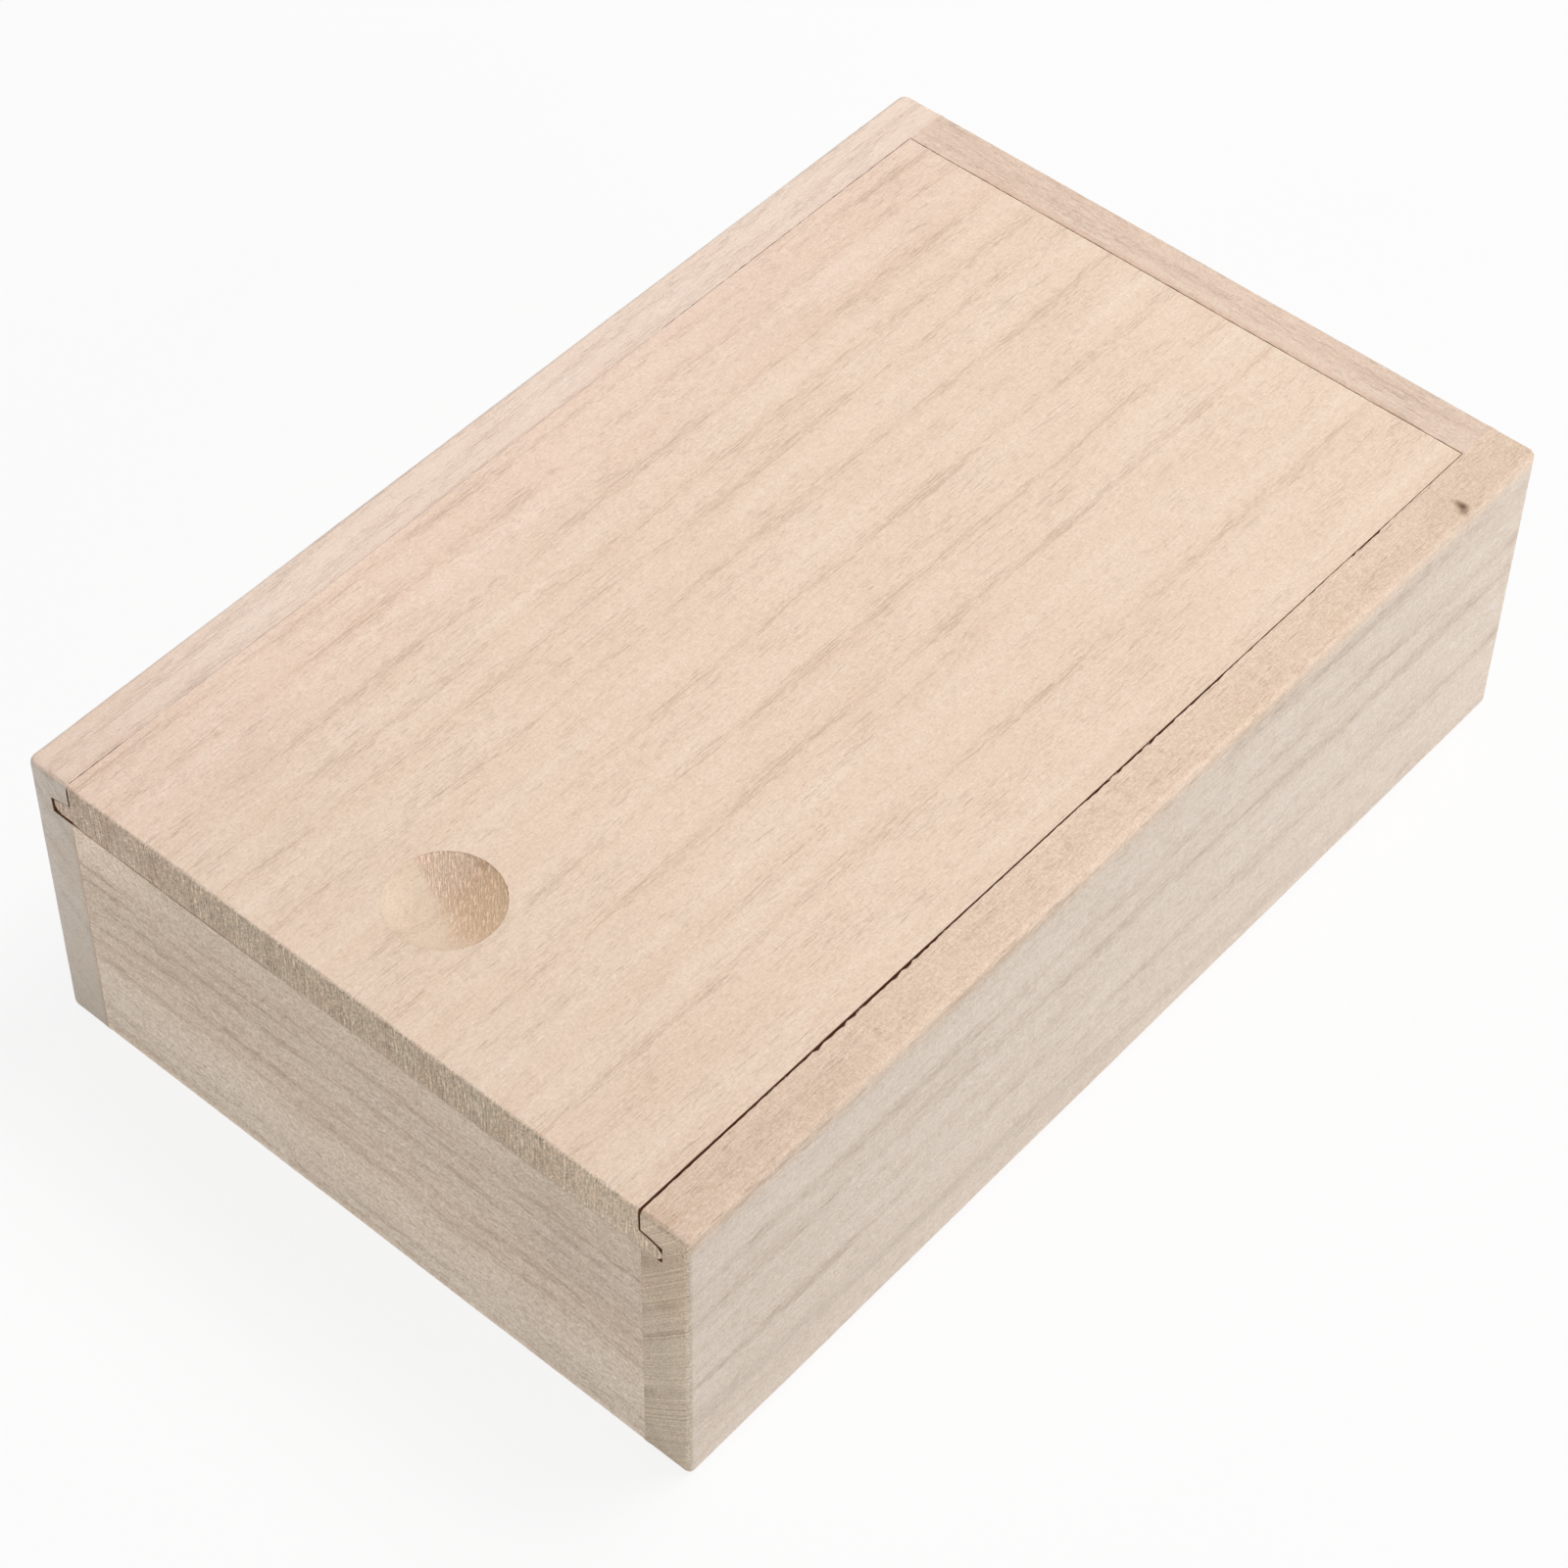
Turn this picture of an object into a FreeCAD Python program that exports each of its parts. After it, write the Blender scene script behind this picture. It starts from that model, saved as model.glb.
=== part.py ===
"""Wooden keepsake box with a lid that slides out through the front.

Frame: millimetres, +Z up, +Y towards the back board, origin under the middle of the box.
Two full-length side walls hold a low front board and a full-height back board between them,
a bottom panel fills the space between the four boards, and the lid runs in the walls' grooves.
"""

import FreeCAD, Part
import os
import Sketcher

TOLERANCE = 1e-4

# Every size that can be set by itself.
SIZES = {
    "box_width": 120,  # outside of the side walls, along X
    "box_length": 185,  # end to end of the side walls, along Y
    "box_height": 54,  # table to the top of the walls and the lid
    "board": 8,  # thickness of the four upright boards
    "bottom_thickness": 5,
    "lid_thickness": 7.6,
    "lip_height": 4,  # wall left standing above each groove
    "groove_depth": 3.6,  # how far each groove goes into its wall
    "tongue_fall": 0.8,  # drop of the tongue's top from the wall's face to its tip
    "tip_gap": 0.3,  # tongue tip to the end of the groove
    "under_gap": 0.2,  # groove floor and front board to the lid's underside
    "over_gap": 0.2,  # tongue's top to the lip above it
    "left_gap": 0.2,  # left wall to the lid's left edge
    "right_gap_front": 0.5,  # right wall to the lid's right edge, at the front
    "right_gap_back": 0.2,  # the same, at the back
    "back_gap": 0.25,  # closed lid to the back board
    "scoop_ball": 12.7,  # radius of the ball that cuts the finger scoop
    "scoop_depth": 3.2,
    "scoop_setback": 19.6,  # lid's front edge to the middle of the scoop
    "scoop_shift": 0.4,  # middle of the box to the middle of the scoop, to the left
    "corner_radius": 1.5,  # upright outer corners of the box
    "edge_radius": 1.2,  # outer edges along the top and the bottom
    "lid_front_radius": 0.8,  # lid's front edge, on top
    "board_front_radius": 0.5,  # front board's top edge, outside
    "arris": 0.3,  # lid's other top edges, which the walls and the back board face
}

# Sizes that follow from the ones above, as expressions on the sheet.
INNER_WIDTH = "(sizes.box_width - 2 * sizes.board)"
INNER_LENGTH = "(sizes.box_length - 2 * sizes.board)"
SLIDE_LEVEL = "(sizes.box_height - sizes.lid_thickness - sizes.under_gap)"
TONGUE_REACH = "(sizes.groove_depth - sizes.tip_gap)"
TONGUE_ROOT = "(sizes.lid_thickness - sizes.lip_height - sizes.over_gap)"
LID_WIDTH = f"({INNER_WIDTH} + 2 * {TONGUE_REACH})"
LID_LENGTH = "(sizes.box_length - sizes.board - sizes.back_gap)"

doc = FreeCAD.newDocument("sliding_lid_box")
sheet = doc.addObject("Spreadsheet::Sheet", "sizes")
for row, (alias, value) in enumerate(SIZES.items(), start=1):
    sheet.set(f"A{row}", str(value))
    sheet.setAlias(f"A{row}", alias)
doc.recompute()


def number(expression):
    """The value of an expression on the sheet, in millimetres."""
    return float(sheet.evalExpression(expression))


def new_sketch(body, plane, name):
    """A sketch on one of the body's own origin planes."""
    sketch = body.newObject("Sketcher::SketchObject", name)
    support = next(item for item in body.Origin.OriginFeatures if item.Role == plane)
    sketch.AttachmentSupport = [(support, "")]
    sketch.MapMode = "FlatFace"
    return sketch


def hold(sketch, kind, line, expression, label):
    """Bind one coordinate of a line's start point to an expression on the sheet."""
    if expression == "0":
        axis = -2 if kind == "DistanceX" else -1
        sketch.addConstraint(Sketcher.Constraint("PointOnObject", line, 1, axis))
        return
    value = number(expression)
    index = sketch.addConstraint(Sketcher.Constraint(kind, -1, 1, line, 1, value))
    sketch.renameConstraint(index, label)
    sketch.setExpression(f"Constraints.{label}", expression)


def draw_outline(sketch, corners):
    """A closed outline of straight lines through corners given as (x, y) expressions."""
    points = [FreeCAD.Vector(number(x), number(y), 0) for x, y in corners]
    count = len(points)
    for index in range(count):
        line = Part.LineSegment(points[index], points[(index + 1) % count])
        sketch.addGeometry(line, False)
    for index in range(count):
        following = (index + 1) % count
        sketch.addConstraint(Sketcher.Constraint("Coincident", index, 2, following, 1))
    for index, (x, y) in enumerate(corners):
        hold(sketch, "DistanceX", index, x, f"x{index}")
        hold(sketch, "DistanceY", index, y, f"y{index}")


def rectangle(x_low, y_low, x_high, y_high):
    return [(x_low, y_low), (x_high, y_low), (x_high, y_high), (x_low, y_high)]


def place(body, x, y, z, turn=0):
    """Put a body's own corner at x, y, z, turned about +Z by some degrees."""
    rotation = FreeCAD.Rotation(FreeCAD.Vector(0, 0, 1), turn)
    body.Placement = FreeCAD.Placement(FreeCAD.Vector(), rotation)
    for axis, expression in (("x", x), ("y", y), ("z", z)):
        body.setExpression(f".Placement.Base.{axis}", expression)


def plank(name, width, depth, height):
    """A body that starts as a plain board with one corner at its own origin."""
    body = doc.addObject("PartDesign::Body", name)
    body.Label = name
    outline = new_sketch(body, "XY_Plane", f"{name}_outline")
    draw_outline(outline, rectangle("0", "0", width, depth))
    pad = body.newObject("PartDesign::Pad", f"{name}_board")
    pad.Profile = outline
    pad.setExpression("Length", height)
    doc.recompute()
    return body


def cut_along(body, name, corners):
    """Cut an outline in the body's XZ plane right through it, along Y."""
    before = body.Shape.Volume
    profile = new_sketch(body, "XZ_Plane", f"{name}_profile")
    draw_outline(profile, corners)
    pocket = body.newObject("PartDesign::Pocket", name)
    pocket.Profile = profile
    pocket.Type = "ThroughAll"
    pocket.SideType = "Symmetric"
    doc.recompute()
    check_cut(body, name, before)


def cut_down(body, name, corners, level, depth):
    """Cut an outline seen from above, downwards from a level."""
    before = body.Shape.Volume
    outline = new_sketch(body, "XY_Plane", f"{name}_outline")
    outline.setExpression(".AttachmentOffset.Base.z", level)
    draw_outline(outline, corners)
    pocket = body.newObject("PartDesign::Pocket", name)
    pocket.Profile = outline
    pocket.setExpression("Length", depth)
    doc.recompute()
    check_cut(body, name, before)


def check_cut(body, name, before):
    if body.Shape.Volume > before - TOLERANCE:
        raise RuntimeError(f"{name} removed nothing")


def near(a, b):
    return abs(a - b) < TOLERANCE


def edges_in(shape, low_x=None, high_x=None, low_y=None, high_y=None, low_z=None, high_z=None):
    """Names of the edges whose boxes have every bound that is given."""
    wanted = {
        "XMin": low_x,
        "XMax": high_x,
        "YMin": low_y,
        "YMax": high_y,
        "ZMin": low_z,
        "ZMax": high_z,
    }
    names = []
    for index, edge in enumerate(shape.Edges, start=1):
        box = edge.BoundBox
        given = [(getattr(box, key), value) for key, value in wanted.items() if value is not None]
        if all(near(found, value) for found, value in given):
            names.append(f"Edge{index}")
    return names


def round_edges(body, name, names, radius):
    """Round the named edges of the body's latest feature."""
    if not names:
        raise RuntimeError(f"{name} found no edges")
    base = body.Tip
    fillet = body.newObject("PartDesign::Fillet", name)
    fillet.Base = (base, names)
    fillet.setExpression("Radius", radius)
    doc.recompute()


def make_side_wall(name, x, y, turn):
    """A full-length wall: groove on its inner face, outer corners and edges rounded.

    Its own origin is at the foot of its outer face, and its inner face is at x = board.
    """
    wall = plank(name, "sizes.board", "sizes.box_length", "sizes.box_height")
    groove = rectangle(
        "(sizes.board - sizes.groove_depth)",
        SLIDE_LEVEL,
        "sizes.board",
        "(sizes.box_height - sizes.lip_height)",
    )
    cut_along(wall, f"{name}_groove", groove)
    length = number("sizes.box_length")
    height = number("sizes.box_height")
    board = number("sizes.board")
    upright = []
    for end in (0, length):
        upright += edges_in(wall.Shape, low_x=0, high_x=0, low_y=end, high_y=end)
    round_edges(wall, f"{name}_corners", upright, "sizes.corner_radius")
    rim = []
    for level in (0, height):
        inner = edges_in(wall.Shape, low_x=board, high_x=board, low_z=level, high_z=level)
        around = edges_in(wall.Shape, low_z=level, high_z=level)
        rim += [edge for edge in around if edge not in inner]
    round_edges(wall, f"{name}_edges", rim, "sizes.edge_radius")
    place(wall, x, y, "0", turn)
    return wall


def make_front_board():
    """The low front board between the walls, which the lid slides out over."""
    front = plank("front_board", INNER_WIDTH, "sizes.board", SLIDE_LEVEL)
    level = number(SLIDE_LEVEL)
    foot = edges_in(front.Shape, low_y=0, high_y=0, low_z=0, high_z=0)
    round_edges(front, "front_board_foot", foot, "sizes.edge_radius")
    top = edges_in(front.Shape, low_y=0, high_y=0, low_z=level, high_z=level)
    round_edges(front, "front_board_top", top, "sizes.board_front_radius")
    place(front, f"-{INNER_WIDTH} / 2", "-sizes.box_length / 2", "0")
    return front


def make_back_board():
    """The back board between the walls, as high as they are: the lid's stop."""
    back = plank("back_board", INNER_WIDTH, "sizes.board", "sizes.box_height")
    board = number("sizes.board")
    outer = []
    for level in (0, number("sizes.box_height")):
        outer += edges_in(back.Shape, low_y=board, high_y=board, low_z=level, high_z=level)
    round_edges(back, "back_board_edges", outer, "sizes.edge_radius")
    place(back, f"-{INNER_WIDTH} / 2", "sizes.box_length / 2 - sizes.board", "0")
    return back


def make_bottom_panel():
    """The bottom, glued in between the four boards and level with their lower edges."""
    bottom = plank("bottom_panel", INNER_WIDTH, INNER_LENGTH, "sizes.bottom_thickness")
    place(bottom, f"-{INNER_WIDTH} / 2", f"-{INNER_LENGTH} / 2", "0")
    return bottom


def make_lid():
    """The sliding lid: a board with a tongue on each side and a finger scoop on top.

    Its own origin is at the front of the left tongue's tip, on the underside.
    """
    lid = plank("lid", LID_WIDTH, LID_LENGTH, "sizes.lid_thickness")
    rebate_depth = "(sizes.lip_height + sizes.over_gap)"
    left_edge = f"({TONGUE_REACH} + sizes.left_gap)"
    left = rectangle("0", "0", left_edge, LID_LENGTH)
    cut_down(lid, "lid_left_rebate", left, "sizes.lid_thickness", rebate_depth)
    right_edge = f"({LID_WIDTH} - {TONGUE_REACH}"
    right = [
        (f"{right_edge} - sizes.right_gap_front)", "0"),
        (LID_WIDTH, "0"),
        (LID_WIDTH, LID_LENGTH),
        (f"{right_edge} - sizes.right_gap_back)", LID_LENGTH),
    ]
    cut_down(lid, "lid_right_rebate", right, "sizes.lid_thickness", rebate_depth)
    tip = f"({TONGUE_ROOT} - sizes.tongue_fall)"
    left_slope = [("0", tip), (TONGUE_REACH, TONGUE_ROOT), ("0", TONGUE_ROOT)]
    cut_along(lid, "lid_left_slope", left_slope)
    right_slope = [
        (LID_WIDTH, tip),
        (LID_WIDTH, TONGUE_ROOT),
        (f"({LID_WIDTH} - {TONGUE_REACH})", TONGUE_ROOT),
    ]
    cut_along(lid, "lid_right_slope", right_slope)
    cut_scoop(lid)
    top = number("sizes.lid_thickness")
    length = number(LID_LENGTH)
    front = edges_in(lid.Shape, low_y=0, high_y=0, low_z=top, high_z=top)
    round_edges(lid, "lid_front_edge", front, "sizes.lid_front_radius")
    sides_and_back = edges_in(lid.Shape, high_y=length, low_z=top, high_z=top)
    round_edges(lid, "lid_arrises", sides_and_back, "sizes.arris")
    place(
        lid,
        f"-{LID_WIDTH} / 2",
        "-sizes.box_length / 2",
        "sizes.box_height - sizes.lid_thickness",
    )
    return lid


def cut_scoop(lid):
    """A shallow round hollow in the lid's top, cut by a ball."""
    before = lid.Shape.Volume
    ball = lid.newObject("PartDesign::SubtractiveSphere", "lid_scoop")
    ball.AttachmentSupport = [
        (next(item for item in lid.Origin.OriginFeatures if item.Role == "XY_Plane"), "")
    ]
    ball.MapMode = "FlatFace"
    ball.setExpression("Radius", "sizes.scoop_ball")
    ball.setExpression(".AttachmentOffset.Base.x", f"{LID_WIDTH} / 2 - sizes.scoop_shift")
    ball.setExpression(".AttachmentOffset.Base.y", "sizes.scoop_setback")
    ball.setExpression(
        ".AttachmentOffset.Base.z",
        "sizes.lid_thickness - sizes.scoop_depth + sizes.scoop_ball",
    )
    doc.recompute()
    check_cut(lid, "lid_scoop", before)


pieces = [
    make_side_wall("left_wall", "-sizes.box_width / 2", "-sizes.box_length / 2", 0),
    make_side_wall("right_wall", "sizes.box_width / 2", "sizes.box_length / 2", 180),
    make_front_board(),
    make_back_board(),
    make_bottom_panel(),
    make_lid(),
]
doc.recompute()

for item in doc.Objects:
    if "Invalid" in item.State or "Error" in item.State:
        raise RuntimeError(f"{item.Name} is {item.State}")
for piece in pieces:
    if piece.Shape.isNull() or not piece.Shape.isValid() or len(piece.Shape.Solids) != 1:
        raise RuntimeError(f"{piece.Label} isn't one valid solid")

os.makedirs("parts", exist_ok=True)
for piece in pieces:
    piece.Shape.exportStep(f"parts/{piece.Label}.step")
    box = piece.Shape.optimalBoundingBox()
    print(
        f"{piece.Label}: {piece.Shape.Volume:.1f} mm3,"
        f" x {box.XMin:.2f} to {box.XMax:.2f},"
        f" y {box.YMin:.2f} to {box.YMax:.2f},"
        f" z {box.ZMin:.2f} to {box.ZMax:.2f}"
    )
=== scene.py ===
"""Sliding lid box of plain unfinished boards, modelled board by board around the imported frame.

Sizes in the settings are millimetres, the objects are in metres, +Z is up and the lid opens
towards -Y. Each board starts as a plate in the XZ plane, is cut into cells, drawn out along Y,
rounded and made a little uneven. Every wood pattern is a solid one that reads Object
coordinates, so a board's grain runs through it from face to face.
"""

import math
import random
from typing import NamedTuple

import bmesh
import bpy
from mathutils import Euler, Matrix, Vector


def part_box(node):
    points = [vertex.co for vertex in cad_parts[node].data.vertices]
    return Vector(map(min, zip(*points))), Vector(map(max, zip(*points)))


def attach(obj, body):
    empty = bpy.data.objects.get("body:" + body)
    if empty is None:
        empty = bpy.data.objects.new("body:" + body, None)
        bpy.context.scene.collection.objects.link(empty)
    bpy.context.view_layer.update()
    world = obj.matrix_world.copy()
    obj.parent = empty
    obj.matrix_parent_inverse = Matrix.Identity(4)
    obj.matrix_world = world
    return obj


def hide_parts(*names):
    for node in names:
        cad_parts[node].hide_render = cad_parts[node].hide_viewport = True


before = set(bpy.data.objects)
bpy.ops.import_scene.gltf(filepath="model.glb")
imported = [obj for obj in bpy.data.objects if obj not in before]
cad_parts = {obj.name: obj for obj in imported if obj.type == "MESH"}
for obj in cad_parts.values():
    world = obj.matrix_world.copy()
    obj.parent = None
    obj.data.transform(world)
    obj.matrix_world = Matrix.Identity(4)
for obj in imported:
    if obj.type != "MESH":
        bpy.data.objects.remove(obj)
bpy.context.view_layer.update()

bl_info = {
    "name": "Sliding Lid Box",
    "version": (1, 0, 0),
    "blender": (4, 5, 0),
    "location": "3D View > Sidebar > Box",
    "description": "Wooden box with a sliding lid, board by board, and its studio stage",
    "category": "Add Mesh",
}

MM = 0.001


def srgb(red, green, blue):
    """A colour given in display steps from 0 to 255, as the linear one that shaders take."""
    linear = []
    for step in (red, green, blue):
        share = step / 255
        linear.append(share / 12.92 if share <= 0.04045 else ((share + 0.055) / 1.055) ** 2.4)
    return tuple(linear)


def grey(level):
    return (level, level, level, 1.0)


def corners(node):
    """Lowest and highest corner of a node of the frame, in millimetres."""
    return tuple(tuple(round(place / MM, 4) for place in corner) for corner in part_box(node))


# ---------------------------------------------------------------- settings


def colour_setting(name, description, default):
    return bpy.props.FloatVectorProperty(
        name=name, description=description, default=default, size=3, min=0, max=1, subtype="COLOR"
    )


def number_setting(name, description, default, **limits):
    return bpy.props.FloatProperty(name=name, description=description, default=default, **limits)


class BoxSizes(bpy.types.PropertyGroup):
    """Details of the boards, in millimetres; their outer sizes come from the frame."""

    corner: number_setting("Corner", "Radius of the upright outer corners", 1.5, min=0.1)
    crisp_corner: number_setting("Crisp corner", "Radius of the crisper right front corner", 1.0)
    rim: number_setting("Rim", "Radius of the outer edges at the top and the foot", 1.0, min=0.1)
    groove_floor: number_setting("Groove floor", "Height of the grooves' lower side", 46.2)
    groove_roof: number_setting("Groove roof", "Height of the grooves' upper side", 50.0)
    groove_depth: number_setting("Groove depth", "How far a groove goes into a wall", 3.6)
    tongue_top: number_setting("Tongue top", "Height at which the lid's tongues start", 49.62)
    tongue_drop: number_setting("Tongue drop", "How far tongues and groove roofs slope", 0.9)
    snug: number_setting("Snug gap", "Gap where the lid fits tightly", 0.006)
    rear_gap: number_setting("Rear gap", "Gap between the lid and the back board", 0.05)
    left_gap: number_setting("Left gap", "Gap beside the lid's left edge at the top", 0.005)
    left_slit: number_setting("Left slit", "Gap beside the lid's left shoulder", 0.28)
    left_lift: number_setting("Left lift", "How far the left tongue is hollowed below", 0.46)
    seam: number_setting("Seam", "Gap over the front board's left part", 0.12)
    front_gap: number_setting("Front gap", "Gap at the right wall's front end", 0.36)
    middle_gap: number_setting("Middle gap", "Gap halfway along the right wall", 0.14)
    back_gap: number_setting("Back gap", "Gap at the right wall's back end", 0.06)
    left_tip: number_setting("Left tip", "Radius under the left tongue's tip", 1.6, min=0.05)
    right_tip: number_setting("Right tip", "Flat on the right tongue's corners", 0.9, min=0.05)
    lid_edge: number_setting("Lid edge", "Radius of the lid's upper front edge", 0.45, min=0.05)
    arris: number_setting("Arris", "Radius of the edges that are only eased by hand", 0.18)
    scoop_ball: number_setting("Scoop ball", "Radius of the ball that the scoop is cut with", 12.7)
    scoop_depth: number_setting("Scoop depth", "Depth of the finger scoop", 3.2)
    scoop_x: number_setting("Scoop X", "Place of the scoop across the lid", -0.4)
    scoop_y: number_setting("Scoop Y", "Place of the scoop along the lid", -72.9)


class BoxColours(bpy.types.PropertyGroup):
    """Colours of the bare boards, each as seen on a face that is planed along the grain."""

    lid: colour_setting("Lid", "Pale beige of the lid", srgb(237, 210, 187))
    left_wall: colour_setting("Left wall", "Pale cream of the left wall", srgb(240, 215, 197))
    right_wall: colour_setting("Right wall", "Pinkish cream of the right wall", srgb(229, 204, 181))
    front_board: colour_setting("Front board", "Greyish cream of the front", srgb(223, 203, 182))
    back_board: colour_setting("Back board", "Light tan of the back board", srgb(230, 203, 183))
    bottom_panel: colour_setting("Bottom panel", "Cream of the bottom", srgb(230, 206, 184))
    # Greyer beige laid on outer side faces, ends and undersides.
    outer_grey: colour_setting("Weathered", "Greyer beige of outer side faces", srgb(221, 205, 189))
    late_wood: colour_setting("Late wood", "Tint of the dark side of a ring", srgb(222, 211, 198))
    rosy_late: colour_setting("Rosy late wood", "The same on pinker boards", srgb(234, 211, 201))
    pore: colour_setting("Pore", "Brown of the open pores", srgb(164, 128, 104))
    end_grain: colour_setting("End grain", "Tint of the sawn board ends", srgb(232, 234, 230))
    # The scoop's tints carry painted light and shade: the torn half faces away from the key lamp and is
    # painted darker, while the smooth half faces it.
    scoop: colour_setting("Scoop", "Tint of the torn half of the scoop", srgb(245, 235, 220))
    scoop_lit: colour_setting("Scoop, smooth", "Tint of the scoop's smooth half", srgb(243, 243, 241))
    # Reddish brown of real streaks and scratches, also laid as painted shade along the lid's back end
    # on the back board.
    stain_and_shade: colour_setting("Stain", "Reddish brown streaks beside the lid", srgb(200, 160, 130))
    # Painted shade: brown laid in the depth of the gaps between boards, where little light reaches.
    joint_shade: colour_setting("Joint", "Brown in the depth of the joints", srgb(146, 100, 70))
    knot: colour_setting("Knot", "Dark brown of the pin knot", srgb(105, 78, 58))


class BoxGrain(bpy.types.PropertyGroup):
    """How strongly the grain shows."""

    rings: number_setting("Rings", "Strength of the growth rings", 1.0, min=0, max=3)
    pores: number_setting("Pores", "Strength of the pore dashes", 1.0, min=0, max=3)
    ripple: number_setting("Ripple", "Strength of the cross ripple", 1.0, min=0, max=3)
    speckle: number_setting("Speckle", "Strength of the finest fibres", 1.0, min=0, max=3)
    relief: number_setting("Relief", "Depth of pores and fibres in millimetres", 0.05, min=0, max=1)


class BoxStage(bpy.types.PropertyGroup):
    """Lamps, floor and camera."""

    key: number_setting("Key lamp", "Power of the overhead lamp", 9.6, min=0, unit="POWER")
    side: number_setting("Side lamp", "Power of the lamp at the right", 7.3, min=0, unit="POWER")
    front: number_setting("Front lamp", "Power of the lamp in front", 4.5, min=0, unit="POWER")
    back: number_setting("Back lamp", "Power of the lamp at the back", 3.5, min=0, unit="POWER")
    sky: number_setting("Sky", "Brightness of the surroundings", 0.25, min=0, max=2)
    floor: colour_setting("Floor", "Colour of the pale floor", (0.86, 0.86, 0.86))
    lens: number_setting("Lens", "Focal length of the camera in millimetres", 95.645, min=10)


# ---------------------------------------------------------------- bench work

CLOSE = 0.002
FOLD = math.radians(35)
LONG_EDGE = 10.0
ITEMS = {"VERT": "verts", "EDGE": "edges", "FACE": "faces"}


def deselect():
    """Leave edit mode with nothing selected, so that an operator acts on what comes next."""
    if bpy.context.mode != "OBJECT":
        bpy.ops.object.mode_set(mode="OBJECT")
    bpy.ops.object.select_all(action="DESELECT")


def hold(piece):
    """Make a piece the one that operators act on."""
    deselect()
    piece.select_set(True)
    bpy.context.view_layer.objects.active = piece


def start_plate(name, low, high):
    """A plate in the XZ plane at a board's front, in edit mode."""
    deselect()
    middle = [(low[0] + high[0]) / 2 * MM, low[1] * MM, (low[2] + high[2]) / 2 * MM]
    bpy.ops.mesh.primitive_plane_add(size=1, location=middle, rotation=(math.pi / 2, 0, 0))
    piece = bpy.context.active_object
    piece.name = name
    piece.scale = ((high[0] - low[0]) * MM, (high[2] - low[2]) * MM, 1)
    bpy.ops.object.transform_apply(location=True, rotation=True, scale=True)
    bpy.ops.object.mode_set(mode="EDIT")
    return piece


def within(**ranges):
    """A test that a place's coordinates, in millimetres, lie in ranges such as x=(52, 60)."""

    def test(place):
        return all(
            low - CLOSE <= place["xyz".index(axis)] / MM <= high + CLOSE
            for axis, (low, high) in ranges.items()
        )

    return test


def anywhere(place):
    return True


def pick(kind, *tests, along=None, longer=0.0, sharp=False):
    """Select the vertices, edges or faces whose middle passes one of the tests.

    along keeps only the edges that run along that axis, longer those over a length in
    millimetres, and sharp those at a fold.
    """
    bpy.ops.mesh.select_mode(type=kind)
    bpy.ops.mesh.select_all(action="DESELECT")
    data = bpy.context.edit_object.data
    mesh = bmesh.from_edit_mesh(data)
    for item in getattr(mesh, ITEMS[kind]):
        places = [item.co] if kind == "VERT" else [vert.co for vert in item.verts]
        middle = sum(places, Vector()) / len(places)
        if not any(test(middle) for test in tests):
            continue
        if along and abs((places[1] - places[0]).normalized()["xyz".index(along)]) < 0.999:
            continue
        if longer and (places[1] - places[0]).length < longer * MM:
            continue
        if sharp and (not item.is_manifold or item.calc_face_angle() < FOLD):
            continue
        item.select_set(True)
    mesh.select_flush_mode()
    bmesh.update_edit_mesh(data)


def cut(axis, *places):
    """Cut the whole mesh at places along an axis."""
    for place in places:
        point = [0.0, 0.0, 0.0]
        normal = [0.0, 0.0, 0.0]
        point["xyz".index(axis)] = place * MM
        normal["xyz".index(axis)] = 1.0
        bpy.ops.mesh.select_all(action="SELECT")
        bpy.ops.mesh.bisect(plane_co=point, plane_no=normal)


def steps(low, high, size):
    """Places between two ends, evenly spaced about a size apart."""
    count = max(round((high - low) / size), 1)
    return [low + (high - low) * turn / count for turn in range(1, count)]


def take_out(*tests):
    """Delete the cells whose middles pass a test."""
    pick("FACE", *tests)
    bpy.ops.mesh.delete(type="FACE")


def shift(move, *tests):
    """Move the vertices that pass a test, by millimetres."""
    pick("VERT", *tests)
    bpy.ops.transform.translate(value=[length * MM for length in move])


def draw_out(length):
    """Draw the plate out along Y into a board, with its faces outwards."""
    bpy.ops.mesh.select_mode(type="FACE")
    bpy.ops.mesh.select_all(action="SELECT")
    bpy.ops.mesh.extrude_region_move(TRANSFORM_OT_translate={"value": (0, length * MM, 0)})
    bpy.ops.mesh.select_all(action="SELECT")
    bpy.ops.mesh.normals_make_consistent(inside=False)


def round_edges(radius, *tests, along=None, segments=5):
    """Round the sharp edges whose middles pass a test."""
    pick("EDGE", *tests, along=along, sharp=True)
    bpy.ops.mesh.bevel(
        offset_type="OFFSET", offset=radius * MM, segments=segments, affect="EDGES"
    )


def add_rungs(axis, *counts):
    """Divide the long edges along an axis, by each count in turn, into a ladder of cells."""
    for count in counts:
        pick("EDGE", anywhere, along=axis, longer=LONG_EDGE)
        bpy.ops.mesh.subdivide(number_cuts=count)


def put_down(piece):
    """Leave edit mode with the piece held."""
    bpy.ops.object.mode_set(mode="OBJECT")
    hold(piece)


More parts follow.
